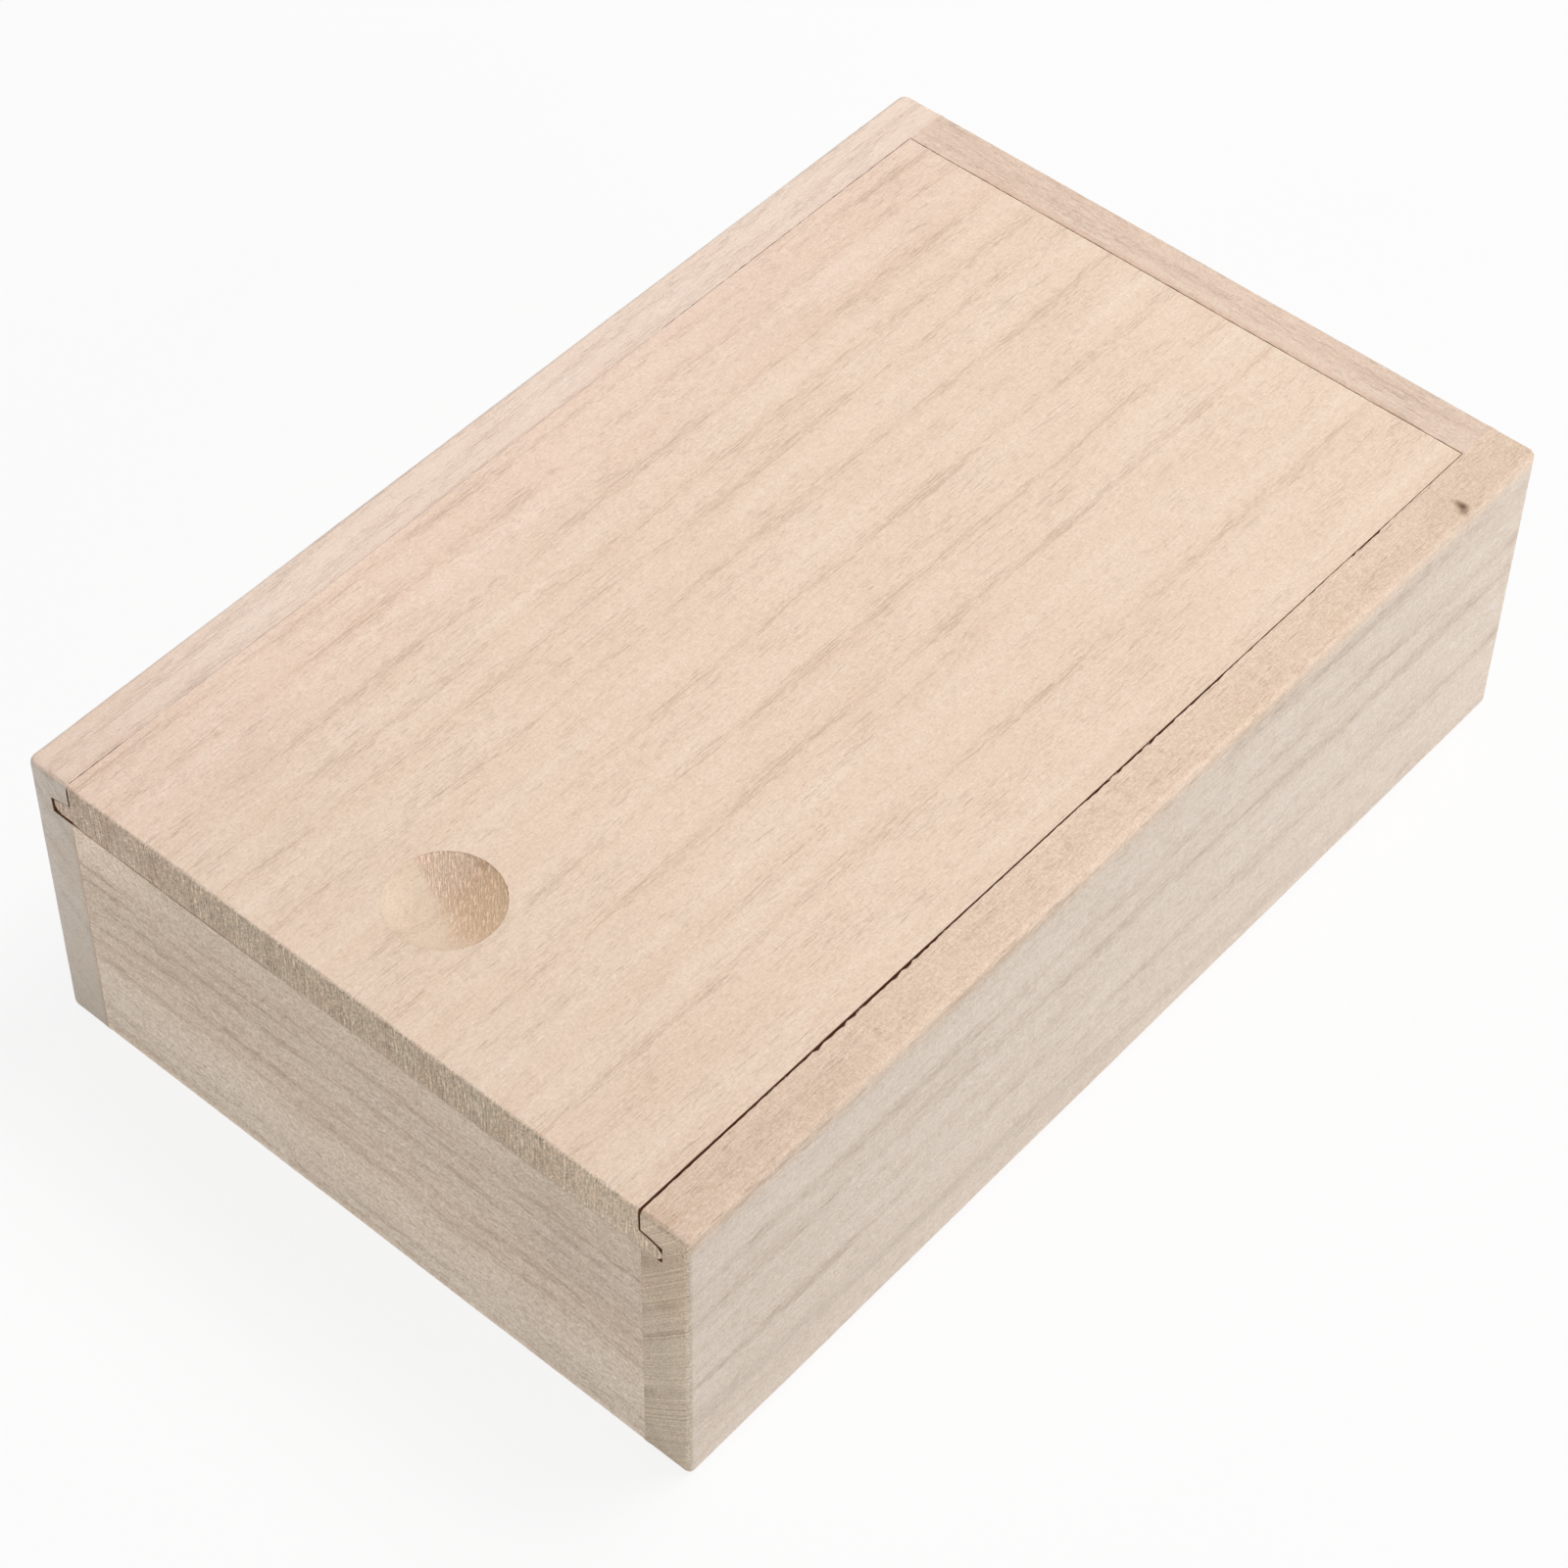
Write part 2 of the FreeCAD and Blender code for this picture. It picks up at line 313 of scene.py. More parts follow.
def weather(piece, name, weigh, depth, sizes, direction="NORMAL", middle=1.0, seed=0.0, sharp=1.0):
    """Shift points by a cloudy texture, to give faces a planed unevenness or edges small nicks.

    weigh gives each point's share from its place in millimetres, sizes are the clouds' sizes
    along X, Y and Z, and middle 1 only pushes points in, while 0 only moves them forward.
    """
    group = piece.vertex_groups.new(name=name)
    for vert in piece.data.vertices:
        share = weigh(*(vert.co / MM))
        if share > 0:
            group.add([vert.index], min(share, 1.0), "REPLACE")
    clouds = bpy.data.textures.new(name, "CLOUDS")
    clouds.noise_scale = 1.0
    clouds.noise_depth = 2
    clouds.contrast = sharp
    guide = bpy.data.objects.new("grain_guide", None)
    guide.scale = [size * MM for size in sizes]
    guide.location = (seed * 0.37, seed * 0.53, seed * 0.71)
    bpy.context.scene.collection.objects.link(guide)
    bpy.context.view_layer.update()
    uneven = piece.modifiers.new(name, "DISPLACE")
    uneven.texture = clouds
    uneven.texture_coords = "OBJECT"
    uneven.texture_coords_object = guide
    uneven.vertex_group = name
    uneven.direction = direction
    uneven.mid_level = middle
    uneven.strength = depth * MM
    hold(piece)
    bpy.ops.object.modifier_apply(modifier=name)
    piece.vertex_groups.clear()
    bpy.data.objects.remove(guide)
    bpy.data.textures.remove(clouds)


def add_fibres(piece, spots, seed):
    """Join thin torn fibres to a piece.

    Each spot is a place, a direction and a length in millimetres; the fibres lean a little
    sideways and down from the direction and differ in length.
    """
    dice = random.Random(seed)
    parts = []
    for place, direction, length in spots:
        aside = (dice.uniform(-0.35, 0.35), dice.uniform(-0.35, 0.35), dice.uniform(-0.35, 0))
        lean = Vector(direction) + Vector(aside)
        length *= dice.uniform(0.6, 1.2)
        centre = (Vector(place) + lean.normalized() * length * 0.4) * MM
        bpy.ops.object.select_all(action="DESELECT")
        bpy.ops.mesh.primitive_cone_add(
            vertices=5,
            radius1=dice.uniform(0.035, 0.07) * MM,
            radius2=0.008 * MM,
            depth=length * MM,
            location=centre,
            rotation=lean.to_track_quat("Z", "Y").to_euler(),
        )
        parts.append(bpy.context.active_object)
    for part in parts:
        part.select_set(True)
    piece.select_set(True)
    bpy.context.view_layer.objects.active = piece
    bpy.ops.object.join()
    hold(piece)
    bpy.ops.object.transform_apply(location=True, rotation=True, scale=True)


def finish_board(piece, node, body, material):
    """Smooth the board's shading, give it its wood and let it stand for its node."""
    hold(piece)
    bpy.ops.object.shade_smooth_by_angle(angle=FOLD)
    even = piece.modifiers.new("even_normals", "WEIGHTED_NORMAL")
    even.keep_sharp = True
    bpy.ops.object.modifier_apply(modifier=even.name)
    piece.data.materials.clear()
    piece.data.materials.append(material)
    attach(piece, body)
    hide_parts(node)
    deselect()


# ---------------------------------------------------------------- shader maths


class Value:
    """A socket of a material; arithmetic on it adds Math nodes."""

    def __init__(self, nodes, socket):
        self.nodes = nodes
        self.socket = socket

    def math(self, operation, *values):
        return self.nodes.node("Math", {"operation": operation}, dict(enumerate(values)))

    def __add__(self, other):
        return self.math("ADD", self, other)

    def __radd__(self, other):
        return self.math("ADD", other, self)

    def __sub__(self, other):
        return self.math("SUBTRACT", self, other)

    def __rsub__(self, other):
        return self.math("SUBTRACT", other, self)

    def __mul__(self, other):
        return self.math("MULTIPLY", self, other)

    def __rmul__(self, other):
        return self.math("MULTIPLY", other, self)

    def __truediv__(self, other):
        return self.math("DIVIDE", self, other)

    def __pow__(self, other):
        return self.math("POWER", self, other)

    def __abs__(self):
        return self.math("ABSOLUTE", self)


class Nodes:
    """The nodes of a material or of the world, and the one way in which they are added."""

    def __init__(self, owner):
        owner.use_nodes = True
        self.owner = owner
        self.tree = owner.node_tree
        self.tree.nodes.clear()

    def node(self, kind, settings=None, sockets=None, output=0):
        made = self.tree.nodes.new("ShaderNode" + kind)
        for name, value in (settings or {}).items():
            if name == "stops":
                self.set_stops(made.color_ramp, value)
            else:
                setattr(made, name, value)
        for key, value in (sockets or {}).items():
            if isinstance(value, Value):
                self.tree.links.new(value.socket, made.inputs[key])
            else:
                made.inputs[key].default_value = value
        return Value(self, made.outputs[output]) if made.outputs else None

    def set_stops(self, ramp, stops):
        """Give a ramp its stops, each a place from 0 to 1 and a grey level."""
        ramp.interpolation = "EASE"
        elements = ramp.elements
        while len(elements) > 1:
            elements.remove(elements[-1])
        elements[0].position = stops[0][0]
        elements[0].color = grey(stops[0][1])
        for position, level in stops[1:]:
            elements.new(position).color = grey(level)

    def seen_directly(self):
        """1 where the camera looks at something itself, in a mirror or through glass."""
        paths = [
            self.node("LightPath", output=f"Is {ray} Ray")
            for ray in ("Camera", "Glossy", "Transmission")
        ]
        total = paths[0] + paths[1] + paths[2]
        return total.math("MINIMUM", total, 1.0)


class Shader(Nodes):
    """One solid material, with its places in millimetres."""

    def __init__(self, name):
        super().__init__(bpy.data.materials.new(name))
        place = self.node("TexCoord", output="Object")
        self.place = self.node("VectorMath", {"operation": "SCALE"}, {0: place, "Scale": 1 / MM})
        self.x, self.y, self.z = self.split(self.place)

    def split(self, vector):
        return [self.node("SeparateXYZ", {}, {"Vector": vector}, axis) for axis in "XYZ"]

    def join(self, x, y=0.0, z=0.0):
        return self.node("CombineXYZ", {}, {"X": x, "Y": y, "Z": z})

    def noise(self, sizes, seed=0.0, detail=2.0, rough=0.5):
        """Noise of features of those sizes, from about -1 to 1 with a mean of 0."""
        shares = [1 / size for size in sizes]
        shift = (seed * 3.1, seed * 5.7, seed * 7.3)
        sockets = {0: self.place, 1: shares, 2: shift}
        vector = self.node("VectorMath", {"operation": "MULTIPLY_ADD"}, sockets)
        return self.noise_at(vector, detail, rough)

    def noise_at(self, vector, detail=2.0, rough=0.5):
        """Noise at places that are already divided by the size of its features."""
        sockets = {"Vector": vector, "Scale": 1.0, "Detail": detail, "Roughness": rough}
        return (self.node("TexNoise", {}, sockets) - 0.5) * 2.0

    def step(self, value, low, high):
        """Smoothly 0 at low and 1 at high, whichever of the two is greater."""
        ends = {"From Min": min(low, high), "From Max": max(low, high)}
        ends["To Min"], ends["To Max"] = (0.0, 1.0) if low < high else (1.0, 0.0)
        return self.node("MapRange", {"interpolation_type": "SMOOTHSTEP"}, {"Value": value, **ends})

    def band(self, value, low, high, soft):
        """1 between two ends of a value, with soft sides."""
        return self.step(value, low - soft, low) * self.step(value, high + soft, high)

    def where(self, **spans):
        """1 in a part of the space, given along one or more axes.

        Each span is the place of 0 and the place of 1, or a band's two ends and its softness.
        """
        masks = []
        for axis, span in spans.items():
            fade = self.step if len(span) == 2 else self.band
            masks.append(fade(getattr(self, axis), *span))
        return math.prod(masks[1:], start=masks[0])

    def spot(self, centre, sizes):
        """1 at a point, falling to 0 at the border of an ellipsoid of those half sizes."""
        away = self.node("VectorMath", {"operation": "SUBTRACT"}, {0: self.place, 1: centre})
        away = self.node("VectorMath", {"operation": "DIVIDE"}, {0: away, 1: sizes})
        reach = self.node("VectorMath", {"operation": "LENGTH"}, {0: away}, "Value")
        return self.step(reach, 1.0, 0.0)

    def mix(self, factor, first, second, blend="MIX"):
        """Two colours mixed by a factor."""
        opaque = [
            value if isinstance(value, Value) else (*tuple(value)[:3], 1.0)
            for value in (first, second)
        ]
        settings = {"data_type": "RGBA", "blend_type": blend, "clamp_factor": True}
        return self.node("Mix", settings, {0: factor, 6: opaque[0], 7: opaque[1]}, 2)

    def scale(self, colour, level):
        return self.node("VectorMath", {"operation": "SCALE"}, {0: colour, "Scale": level})

    def finish(self, colour, roughness, height):
        """Join the surface: a rough bare one with a bump in millimetres."""
        bump = self.node("Bump", {}, {"Strength": 1.0, "Distance": MM, "Height": height}, "Normal")
        sockets = {"Base Color": colour, "Roughness": roughness, "Normal": bump}
        sockets["Specular IOR Level"] = SPECULAR
        surface = self.node("BsdfPrincipled", {}, sockets)
        self.node("OutputMaterial", {}, {"Surface": surface})
        return self.owner


# ---------------------------------------------------------------- wood

SPECULAR = 0.2
SPECKLE = (0.78, 1.0, 1.18)
FAR_PITH = 400.0
RING_LEAD = 1.7
RING_FADE = 1.1
STREAK = 1.5
WANDER = 1.6
MIDDLE_TONE = 0.46


class Timber(NamedTuple):
    """How one board was cut from its log, in millimetres.

    run is the axis of the grain, pith the log's middle in the board's cross section (X or Y,
    then Z), rings the radii of its ring boundaries and pale those of its palest streaks, and
    lean how far the pith moves, down or to the lower side, for each millimetre along the
    grain. strength says how much the rings show, lined the fine lines and dashes along the
    grain, fuzz the speckle and ends how much darker and rougher the sawn ends are; rosy
    boards have pinker rings.
    """

    run: str
    pith: tuple
    rings: tuple
    pale: tuple = ()
    lean: tuple = (0.0, 0.0)
    seed: float = 0.0
    strength: float = 1.0
    lined: float = 1.0
    fuzz: float = 1.0
    ends: float = 1.0
    rosy: bool = False

    def sizes(self, across, along):
        return (along, across, across) if self.run == "X" else (across, along, across)


TIMBER = {
    "lid": Timber(
        "Y",
        (-FAR_PITH, 50),
        [FAR_PITH + x for x in (-49.3, -43.5, -34.8, -27.6, -22.2, -13, -0.8, 9, 17.8, 35.8)],
        pale=[FAR_PITH + x for x in (-41, -30.6, -18.5, -5.5, 12.3, 25.2, 32, 48)],
        lean=(-0.009, 0.0),
        seed=1,
        strength=0.33,
        lined=0.7,
        fuzz=1.2,
        rosy=True,
    ),
    "right_wall": Timber(
        "Y",
        (-25, 105),
        (100.7, 107.5, 111.8, 121.6),
        lean=(0.0, 0.022),
        seed=2,
        strength=0.75,
        lined=1.4,
        fuzz=1.7,
    ),
    "left_wall": Timber(
        "Y",
        (35, 120),
        (109, 112.3, 116, 121, 127, 134),
        lean=(0.05, 0.0),
        seed=3,
        strength=0.3,
        lined=0.5,
        ends=0.2,
        rosy=True,
    ),
    "front_board": Timber(
        "X",
        (-180, -60),
        (108.1, 109.8, 117.4, 120.6, 122.8, 126, 129.2, 131.2),
        seed=4,
        strength=0.38,
        lined=1.15,
        fuzz=3.0,
    ),
    "back_board": Timber(
        "X",
        (30, 130),
        (92, 96, 99, 105, 113, 124, 136),
        lean=(0.0, 0.02),
        seed=5,
        strength=0.25,
        lined=0.5,
        fuzz=1.3,
        rosy=True,
    ),
    "bottom_panel": Timber("Y", (10, -90), (91, 94, 99, 105, 112), lean=(0.01, 0.0), seed=6),
}


class Wood:
    """One board's wood: the patterns that every board shares, and a colour to lay marks on."""

    def __init__(self, name, settings):
        self.shader = Shader(f"{name}_wood")
        self.name = name
        self.timber = TIMBER[name]
        self.colours = settings.box_colours
        self.grain = settings.box_grain
        self.sizes = settings.box_sizes
        self.height = 0.0
        self.lay_rings()
        self.lay_fibres()
        self.lay_colour()

    def noise(self, across, along, seed, detail=2.0, rough=0.5):
        sizes = self.timber.sizes(across, along)
        return self.shader.noise(sizes, self.timber.seed + seed, detail, rough)

    def lay_rings(self):
        """Distance from the pith, and what follows it: rings, pale streaks and fine lines."""
        timber, shader = self.timber, self.shader
        side, lengthwise = (shader.y, shader.x) if timber.run == "X" else (shader.x, shader.y)
        out = side - timber.pith[0] + lengthwise * timber.lean[0]
        up = shader.z - timber.pith[1] + lengthwise * timber.lean[1]
        drift = (out * out + up * up) ** 0.5 + self.noise(30, 110, 0.1, 1.0) * WANDER
        self.arcs = shader.noise_at(shader.join(drift / 0.34, z=timber.seed), 2.0, 0.7)
        self.radius = drift + self.noise(1.1, 14, 0.2, 3.0, 0.6) * 1.2
        self.radius = self.radius + self.noise(0.32, 4.0, 0.25, 2.0, 0.7) * 0.9
        rings = self.marks(timber.rings, RING_LEAD, RING_FADE)
        self.rings = rings * (0.85 + self.noise(4, 36, 0.3) * 0.9)
        self.pale = self.marks(timber.pale, STREAK, STREAK) if timber.pale else None
        fine = shader.join(drift / 0.30, lengthwise / 13, self.timber.seed)
        self.lines = shader.noise_at(fine, 2.0, 0.6)
        long_lines = shader.join(drift / 0.9, lengthwise / 70, self.timber.seed)
        self.long_lines = shader.noise_at(long_lines, 3.0, 0.7)

    def marks(self, radii, lead, fade):
        """1 at each of some radii, rising over a lead and ending in a fade."""
        low = min(radii) - 2 * lead
        high = max(radii) + 2 * fade
        stops = []
        for radius in radii:
            stops += [(radius - lead, 0.0), (radius, 1.0), (radius + fade, 0.0)]
        stops = [((place - low) / (high - low), level) for place, level in stops]
        sockets = {"Value": self.radius, "From Min": low, "From Max": high}
        place = self.shader.node("MapRange", {}, sockets)
        return self.shader.node("ValToRGB", {"stops": stops}, {"Fac": place}, "Color")

    def lay_fibres(self):
        """Streaks, pores and the finest fibres, all drawn out along the grain."""
        shader = self.shader
        self.streaks = self.noise(0.42, 20, 0.4, 3.0, 0.65)
        self.band = self.noise(6.0, 70, 0.5, 3.0, 0.6)
        self.patch = self.noise(9.0, 14, 0.55, 2.0, 0.6)
        self.fibre = self.noise(0.22, 1.5, 0.6, 2.0, 0.7)
        self.grit = shader.noise((0.32, 0.32, 0.32), self.timber.seed + 0.62, 1.0, 0.8)
        self.speck = shader.noise((2.2, 2.2, 2.2), self.timber.seed + 0.65, 5.0, 0.95)
        self.ripple = self.noise(1.8, 0.5, 0.7, 2.0, 0.7)
        crowd = self.rings * 0.26 + self.noise(3.5, 15, 0.8) * 0.34
        self.pores = shader.step(self.noise(0.18, 5.0, 0.9, 1.0, 0.4) + crowd, 0.38, 0.58)
        self.ticks = shader.step(self.noise(0.16, 2.4, 1.0, 1.0, 0.4) + crowd, 0.22, 0.44)
        axes = shader.split(shader.node("TexCoord", output="Normal"))
        self.facing = abs(axes["XYZ".index(self.timber.run)])
        self.end = shader.step(self.facing, 0.15, 0.65) * shader.step(axes[2], 0.9, 0.5)

    def lay_colour(self):
        """The colour of the planed wood and of its sawn ends, without the marks of one board."""
        shader, colours, timber = self.shader, self.colours, self.timber
        base = tuple(getattr(colours, self.name))
        late = tuple(colours.rosy_late if timber.rosy else colours.late_wood)
        light = tuple(b / t**0.5 for b, t in zip(base, late))
        dark = tuple(b * t**0.5 for b, t in zip(base, late))
        lined = self.lines * 0.10 + self.long_lines * 0.13
        tone = self.rings * (0.17 + self.lines * 0.12) * (self.grain.rings * timber.strength)
        tone = tone + lined * timber.lined + self.streaks * 0.08
        tone = tone + self.band * 0.18 + self.patch * 0.12
        if self.pale:
            tone = tone - self.pale * 0.09
        self.colour = shader.mix(tone + MIDDLE_TONE, light, dark)
        dashes = self.grain.pores * timber.lined
        self.dye("pore", self.ticks * (0.14 * dashes))
        self.dye("pore", self.pores * (0.22 * dashes))
        self.tint(colours.end_grain, self.end * timber.ends)
        dots = shader.noise((0.36, 0.36, 0.36), timber.seed + 1.3, 2.0, 0.8)
        rough = self.end * (0.3 + 0.7 * timber.ends)
        self.shade(rough * (self.arcs * 0.65 + dots * 0.60))

    def shade(self, share):
        """Make the colour lighter by a share of itself, or darker where that is below 0."""
        self.colour = self.shader.scale(self.colour, 1.0 + share)

    def dye(self, name, mask):
        """Lay one of the colour settings over the wood."""
        self.colour = self.shader.mix(mask, self.colour, getattr(self.colours, name))

    def tint(self, tint, mask):
        """Multiply the colour by a tint."""
        self.colour = self.shader.mix(mask, self.colour, tint, "MULTIPLY")

    def weather(self, mask):
        """Turn the board's colour, grain and all, into the greyer one of the outer faces."""
        base = getattr(self.colours, self.name)
        self.tint([new / old for new, old in zip(self.colours.outer_grey, base)], mask)

    def add_spots(self, name, *spots):
        """Lay soft spots of one colour on the wood; each is a centre, half sizes and a strength."""
        for centre, sizes, strength in spots:
            self.dye(name, self.shader.spot(centre, sizes) * strength)

    def paint_joint_shade(self, mask):
        """Painted shade: the brown laid in the depth of a gap between boards, where little light
        reaches, but not on the board's sawn ends.
        """
        self.dye("joint_shade", mask * self.shader.step(self.facing, 0.7, 0.3))

    def near_opening(self, low, high):
        """1 close under a board's upper edge and close behind its front end, where joints open."""
        below_top = self.shader.where(z=(high[2] - 1.3, high[2] - 0.8))
        behind_front = self.shader.where(y=(low[1] + 2.0, low[1] + 1.1))
        return below_top.math("MAXIMUM", below_top, behind_front)

    def speckle(self):
        """Fine light and dark fibres over the colour, a little stronger in its blue."""
        shader, fuzz = self.shader, self.grain.speckle * self.timber.fuzz
        fine = self.fibre * (0.12 * fuzz) + self.grit * (0.17 * fuzz) + self.speck * (0.06 * fuzz)
        fine = fine + self.ripple * (0.05 * self.grain.ripple)
        levels = shader.join(*[fine * share + 1.0 for share in SPECKLE])
        sockets = {0: self.colour, 1: levels}
        return shader.node("VectorMath", {"operation": "MULTIPLY"}, sockets)

    def finish(self):
        """Join the material, with the pores and fibres also in its roughness and height."""
        height = self.fibre * 0.25 - self.pores * 0.8 - self.ticks * 0.6
        height = height + self.ripple * 0.15 + self.speck * 0.3
        rough = 0.82 + self.pores * 0.1
        height = height * self.grain.relief + self.height
        return self.shader.finish(self.speckle(), rough, height)


# ---------------------------------------------------------------- walls

WALL_CELL = 3.0
LIP = 0.9
MOUTH_INSET = 0.35
# Painted light from the pale floor: lighter and bluer low on the front board and on the right wall's
# end grain.
FLOOR_LIGHT_TINT = (1.035, 1.08, 1.12)
END_TINT = (1.09, 1.13, 1.21)
TOP_TINT = (0.985, 0.965, 0.955)
TUFTS = (56, 54.5, 53, 44, 10, 2.5, -33, -50.5, -66, -68)
TUFT_FIBRES = 7
MOUTH_LEVELS = (46.25, 49.5)


class WallWear(NamedTuple):
    """How one wall is worn beside the lid, in millimetres.

    worn are the stretches along Y where its lip is worn most, and elsewhere is the share of
    that on the rest. nick is how far the nicks move the lip along X, level the part of a nick
    that stays in place, and torn the heights over the groove's floor between which the
    groove's mouth is torn.
    """

    seed: float
    worn: tuple
    elsewhere: float
    nick: float
    level: float
    torn: tuple


WEAR = {
    "right_side": WallWear(2.0, ((57, 64), (-3, 28), (-60, -35)), 0.3, 0.42, 0.1, (2.3, 3.9)),
    "left_side": WallWear(3.0, ((27, 85), (-93, -82)), 0.0, -0.18, 0.0, (-0.1, 0.8)),
}


def wall_blank(name, sizes, front_corner):
    """A grooved board in the right wall's place, with rounded outer corners and edges."""
    low, high = corners("right_wall")
    inner = low[0]
    groove = inner + sizes.groove_depth
    piece = start_plate(name, low, high)
    cut("x", *steps(inner, groove, 1.2), groove, groove + 1.6)
    cut("z", *steps(low[2], sizes.groove_floor, WALL_CELL), sizes.groove_floor)
    cut("z", (sizes.groove_floor + sizes.groove_roof) / 2, sizes.groove_roof, 52)
    take_out(within(x=(inner, groove), z=(sizes.groove_floor, sizes.groove_roof)))
    for x in (*steps(inner, groove, 1.2), groove):
        fall = sizes.tongue_drop * (x - inner) / sizes.groove_depth
        shift((0, 0, -fall), within(x=(x, x), z=(sizes.groove_roof, sizes.groove_roof)))
    draw_out(high[1] - low[1])
    for end, radius in ((low[1], front_corner), (high[1], sizes.corner)):
        round_edges(radius, within(x=(high[0], high[0]), y=(end, end)), along="z")
    rims = [within(x=(inner + 0.01, high[0]), z=(level, level)) for level in (low[2], high[2])]
    round_edges(sizes.rim, *rims)
    add_rungs("y", 3, 61)
    put_down(piece)
    return piece


class BOX_OT_walls(bpy.types.Operator):
    """Make the two grooved walls"""

    bl_idname = "box.walls"
    bl_label = "Walls"

    def execute(self, context):
        scene = context.scene
        sizes = scene.box_sizes
        right = wall_blank("right_side", sizes, sizes.crisp_corner)
        left = wall_blank("left_side", sizes, sizes.corner)
        left.rotation_euler.z = math.pi
        bpy.ops.object.transform_apply(rotation=True)
        for piece in (right, left):
            self.weather_wall(piece, sizes)
        self.add_right_fibres(right, sizes)
        self.add_left_fibres(left)
        finish_board(right, "right_wall", "box", right_wall_wood(scene))
        finish_board(left, "left_wall", "box", left_wall_wood(scene))
        return {"FINISHED"}

    def weather_wall(self, piece, sizes):
        low, high = corners("right_wall")
        stop = corners("back_board")[0][1]
        inner, top = low[0], high[2]
        groove = inner + sizes.groove_depth
        wear = WEAR[piece.name]

        def outside(x, y, z):
            in_groove = abs(x) < groove + 0.1 and sizes.groove_floor - 0.1 < z < sizes.groove_roof + 0.1
            return 0.0 if in_groove or abs(x) < inner + 0.05 else 1.0

        def lip(x, y, z):
            if y > stop or abs(x) > inner + CLOSE or z < top - CLOSE:
                return 0.0
            worn = any(first < y < last for first, last in wear.worn)
            return 1.0 if worn else wear.elsewhere

        def mouth(x, y, z):
            in_mouth = abs(y) > high[1] - LIP and inner < abs(x) < groove + 0.1
            torn = wear.torn[0] < z - sizes.groove_floor < wear.torn[1]
            return 1.0 if in_mouth and torn else 0.0

        weather(piece, "planing", outside, 0.10, (5, 16, 5), seed=wear.seed)
        weather(piece, "fuzz", outside, 0.04, (0.8, 1.6, 0.8), seed=wear.seed + 0.5)
        nicks = {"direction": "X", "middle": wear.level, "seed": wear.seed, "sharp": 2.0}
        weather(piece, "nicks", lip, wear.nick, (1, 1.2, 1), **nicks)
        weather(piece, "mouth", mouth, 0.10, (0.6, 0.6, 0.6), seed=wear.seed)

    def add_right_fibres(self, piece, sizes):
        """Torn fibres across the right gap in tufts, and in the mouth of the groove."""
        dice = random.Random(21)
        low, high = corners("right_wall")
        inner, front, top = low[0], low[1], high[2]
        spots = []
        for middle in TUFTS:
            for turn in range(TUFT_FIBRES):
                place = (inner + 0.15, middle + dice.uniform(-0.9, 0.9), top - 0.09)
                spots.append((place, (-0.8, dice.choice((-1.0, 1.0)), 0.0), 0.6))
        for turn in range(5):
            across = 2.1 + turn * 0.12
            roof = sizes.groove_roof - sizes.tongue_drop * across / sizes.groove_depth
            spots.append(((inner + across, front + 0.3, roof), (0.0, 0.0, -1.0), 0.4))
        spots += mouth_fibres(dice, inner, 1, 18, 0.4, 0.5)
        add_fibres(piece, spots, 22)

    def add_left_fibres(self, piece):
        """Torn fibres in the mouth of the groove."""
        inner = corners("left_wall")[1][0]
        add_fibres(piece, mouth_fibres(random.Random(31), inner, -1, 14, 0.3, 0.45), 32)


def mouth_fibres(dice, inner, side, count, nearest, length):
    """Spots for short fibres in the mouth of a wall's groove; side is 1 to the right."""
    front = corners("right_wall")[0][1]
    spots = []
    for turn in range(count):
        across = side * dice.uniform(nearest, 3.4)
        place = (inner + across, front + MOUTH_INSET, dice.choice(MOUTH_LEVELS))
        spots.append((place, (dice.uniform(-1, 1), 0.1, dice.uniform(-0.6, 0.6)), length))
    return spots


def wall_joint_shade(wood):
    """Painted shade in a wall's gap: 1 in its groove and on the inner side of its upper lip, close to
    where they open.
    """
    shader, sizes = wood.shader, wood.sizes
    low, high = corners("right_wall")
    stop = corners("back_board")[0][1]
    groove = low[0] + sizes.groove_depth
    side = shader.step(abs(shader.x), groove + 0.2, groove + 0.05)
    deep = shader.where(z=(sizes.groove_floor - 0.02, high[2] - 0.35, 0.25), y=(stop + 0.1, stop))
    return deep * side * wood.near_opening(low, high)


def outer_face(wood, inner, outer):
    """1 on the outer face of a wall, fading in over its rounded edge."""
    return wood.shader.step(abs(wood.shader.x), inner, outer)


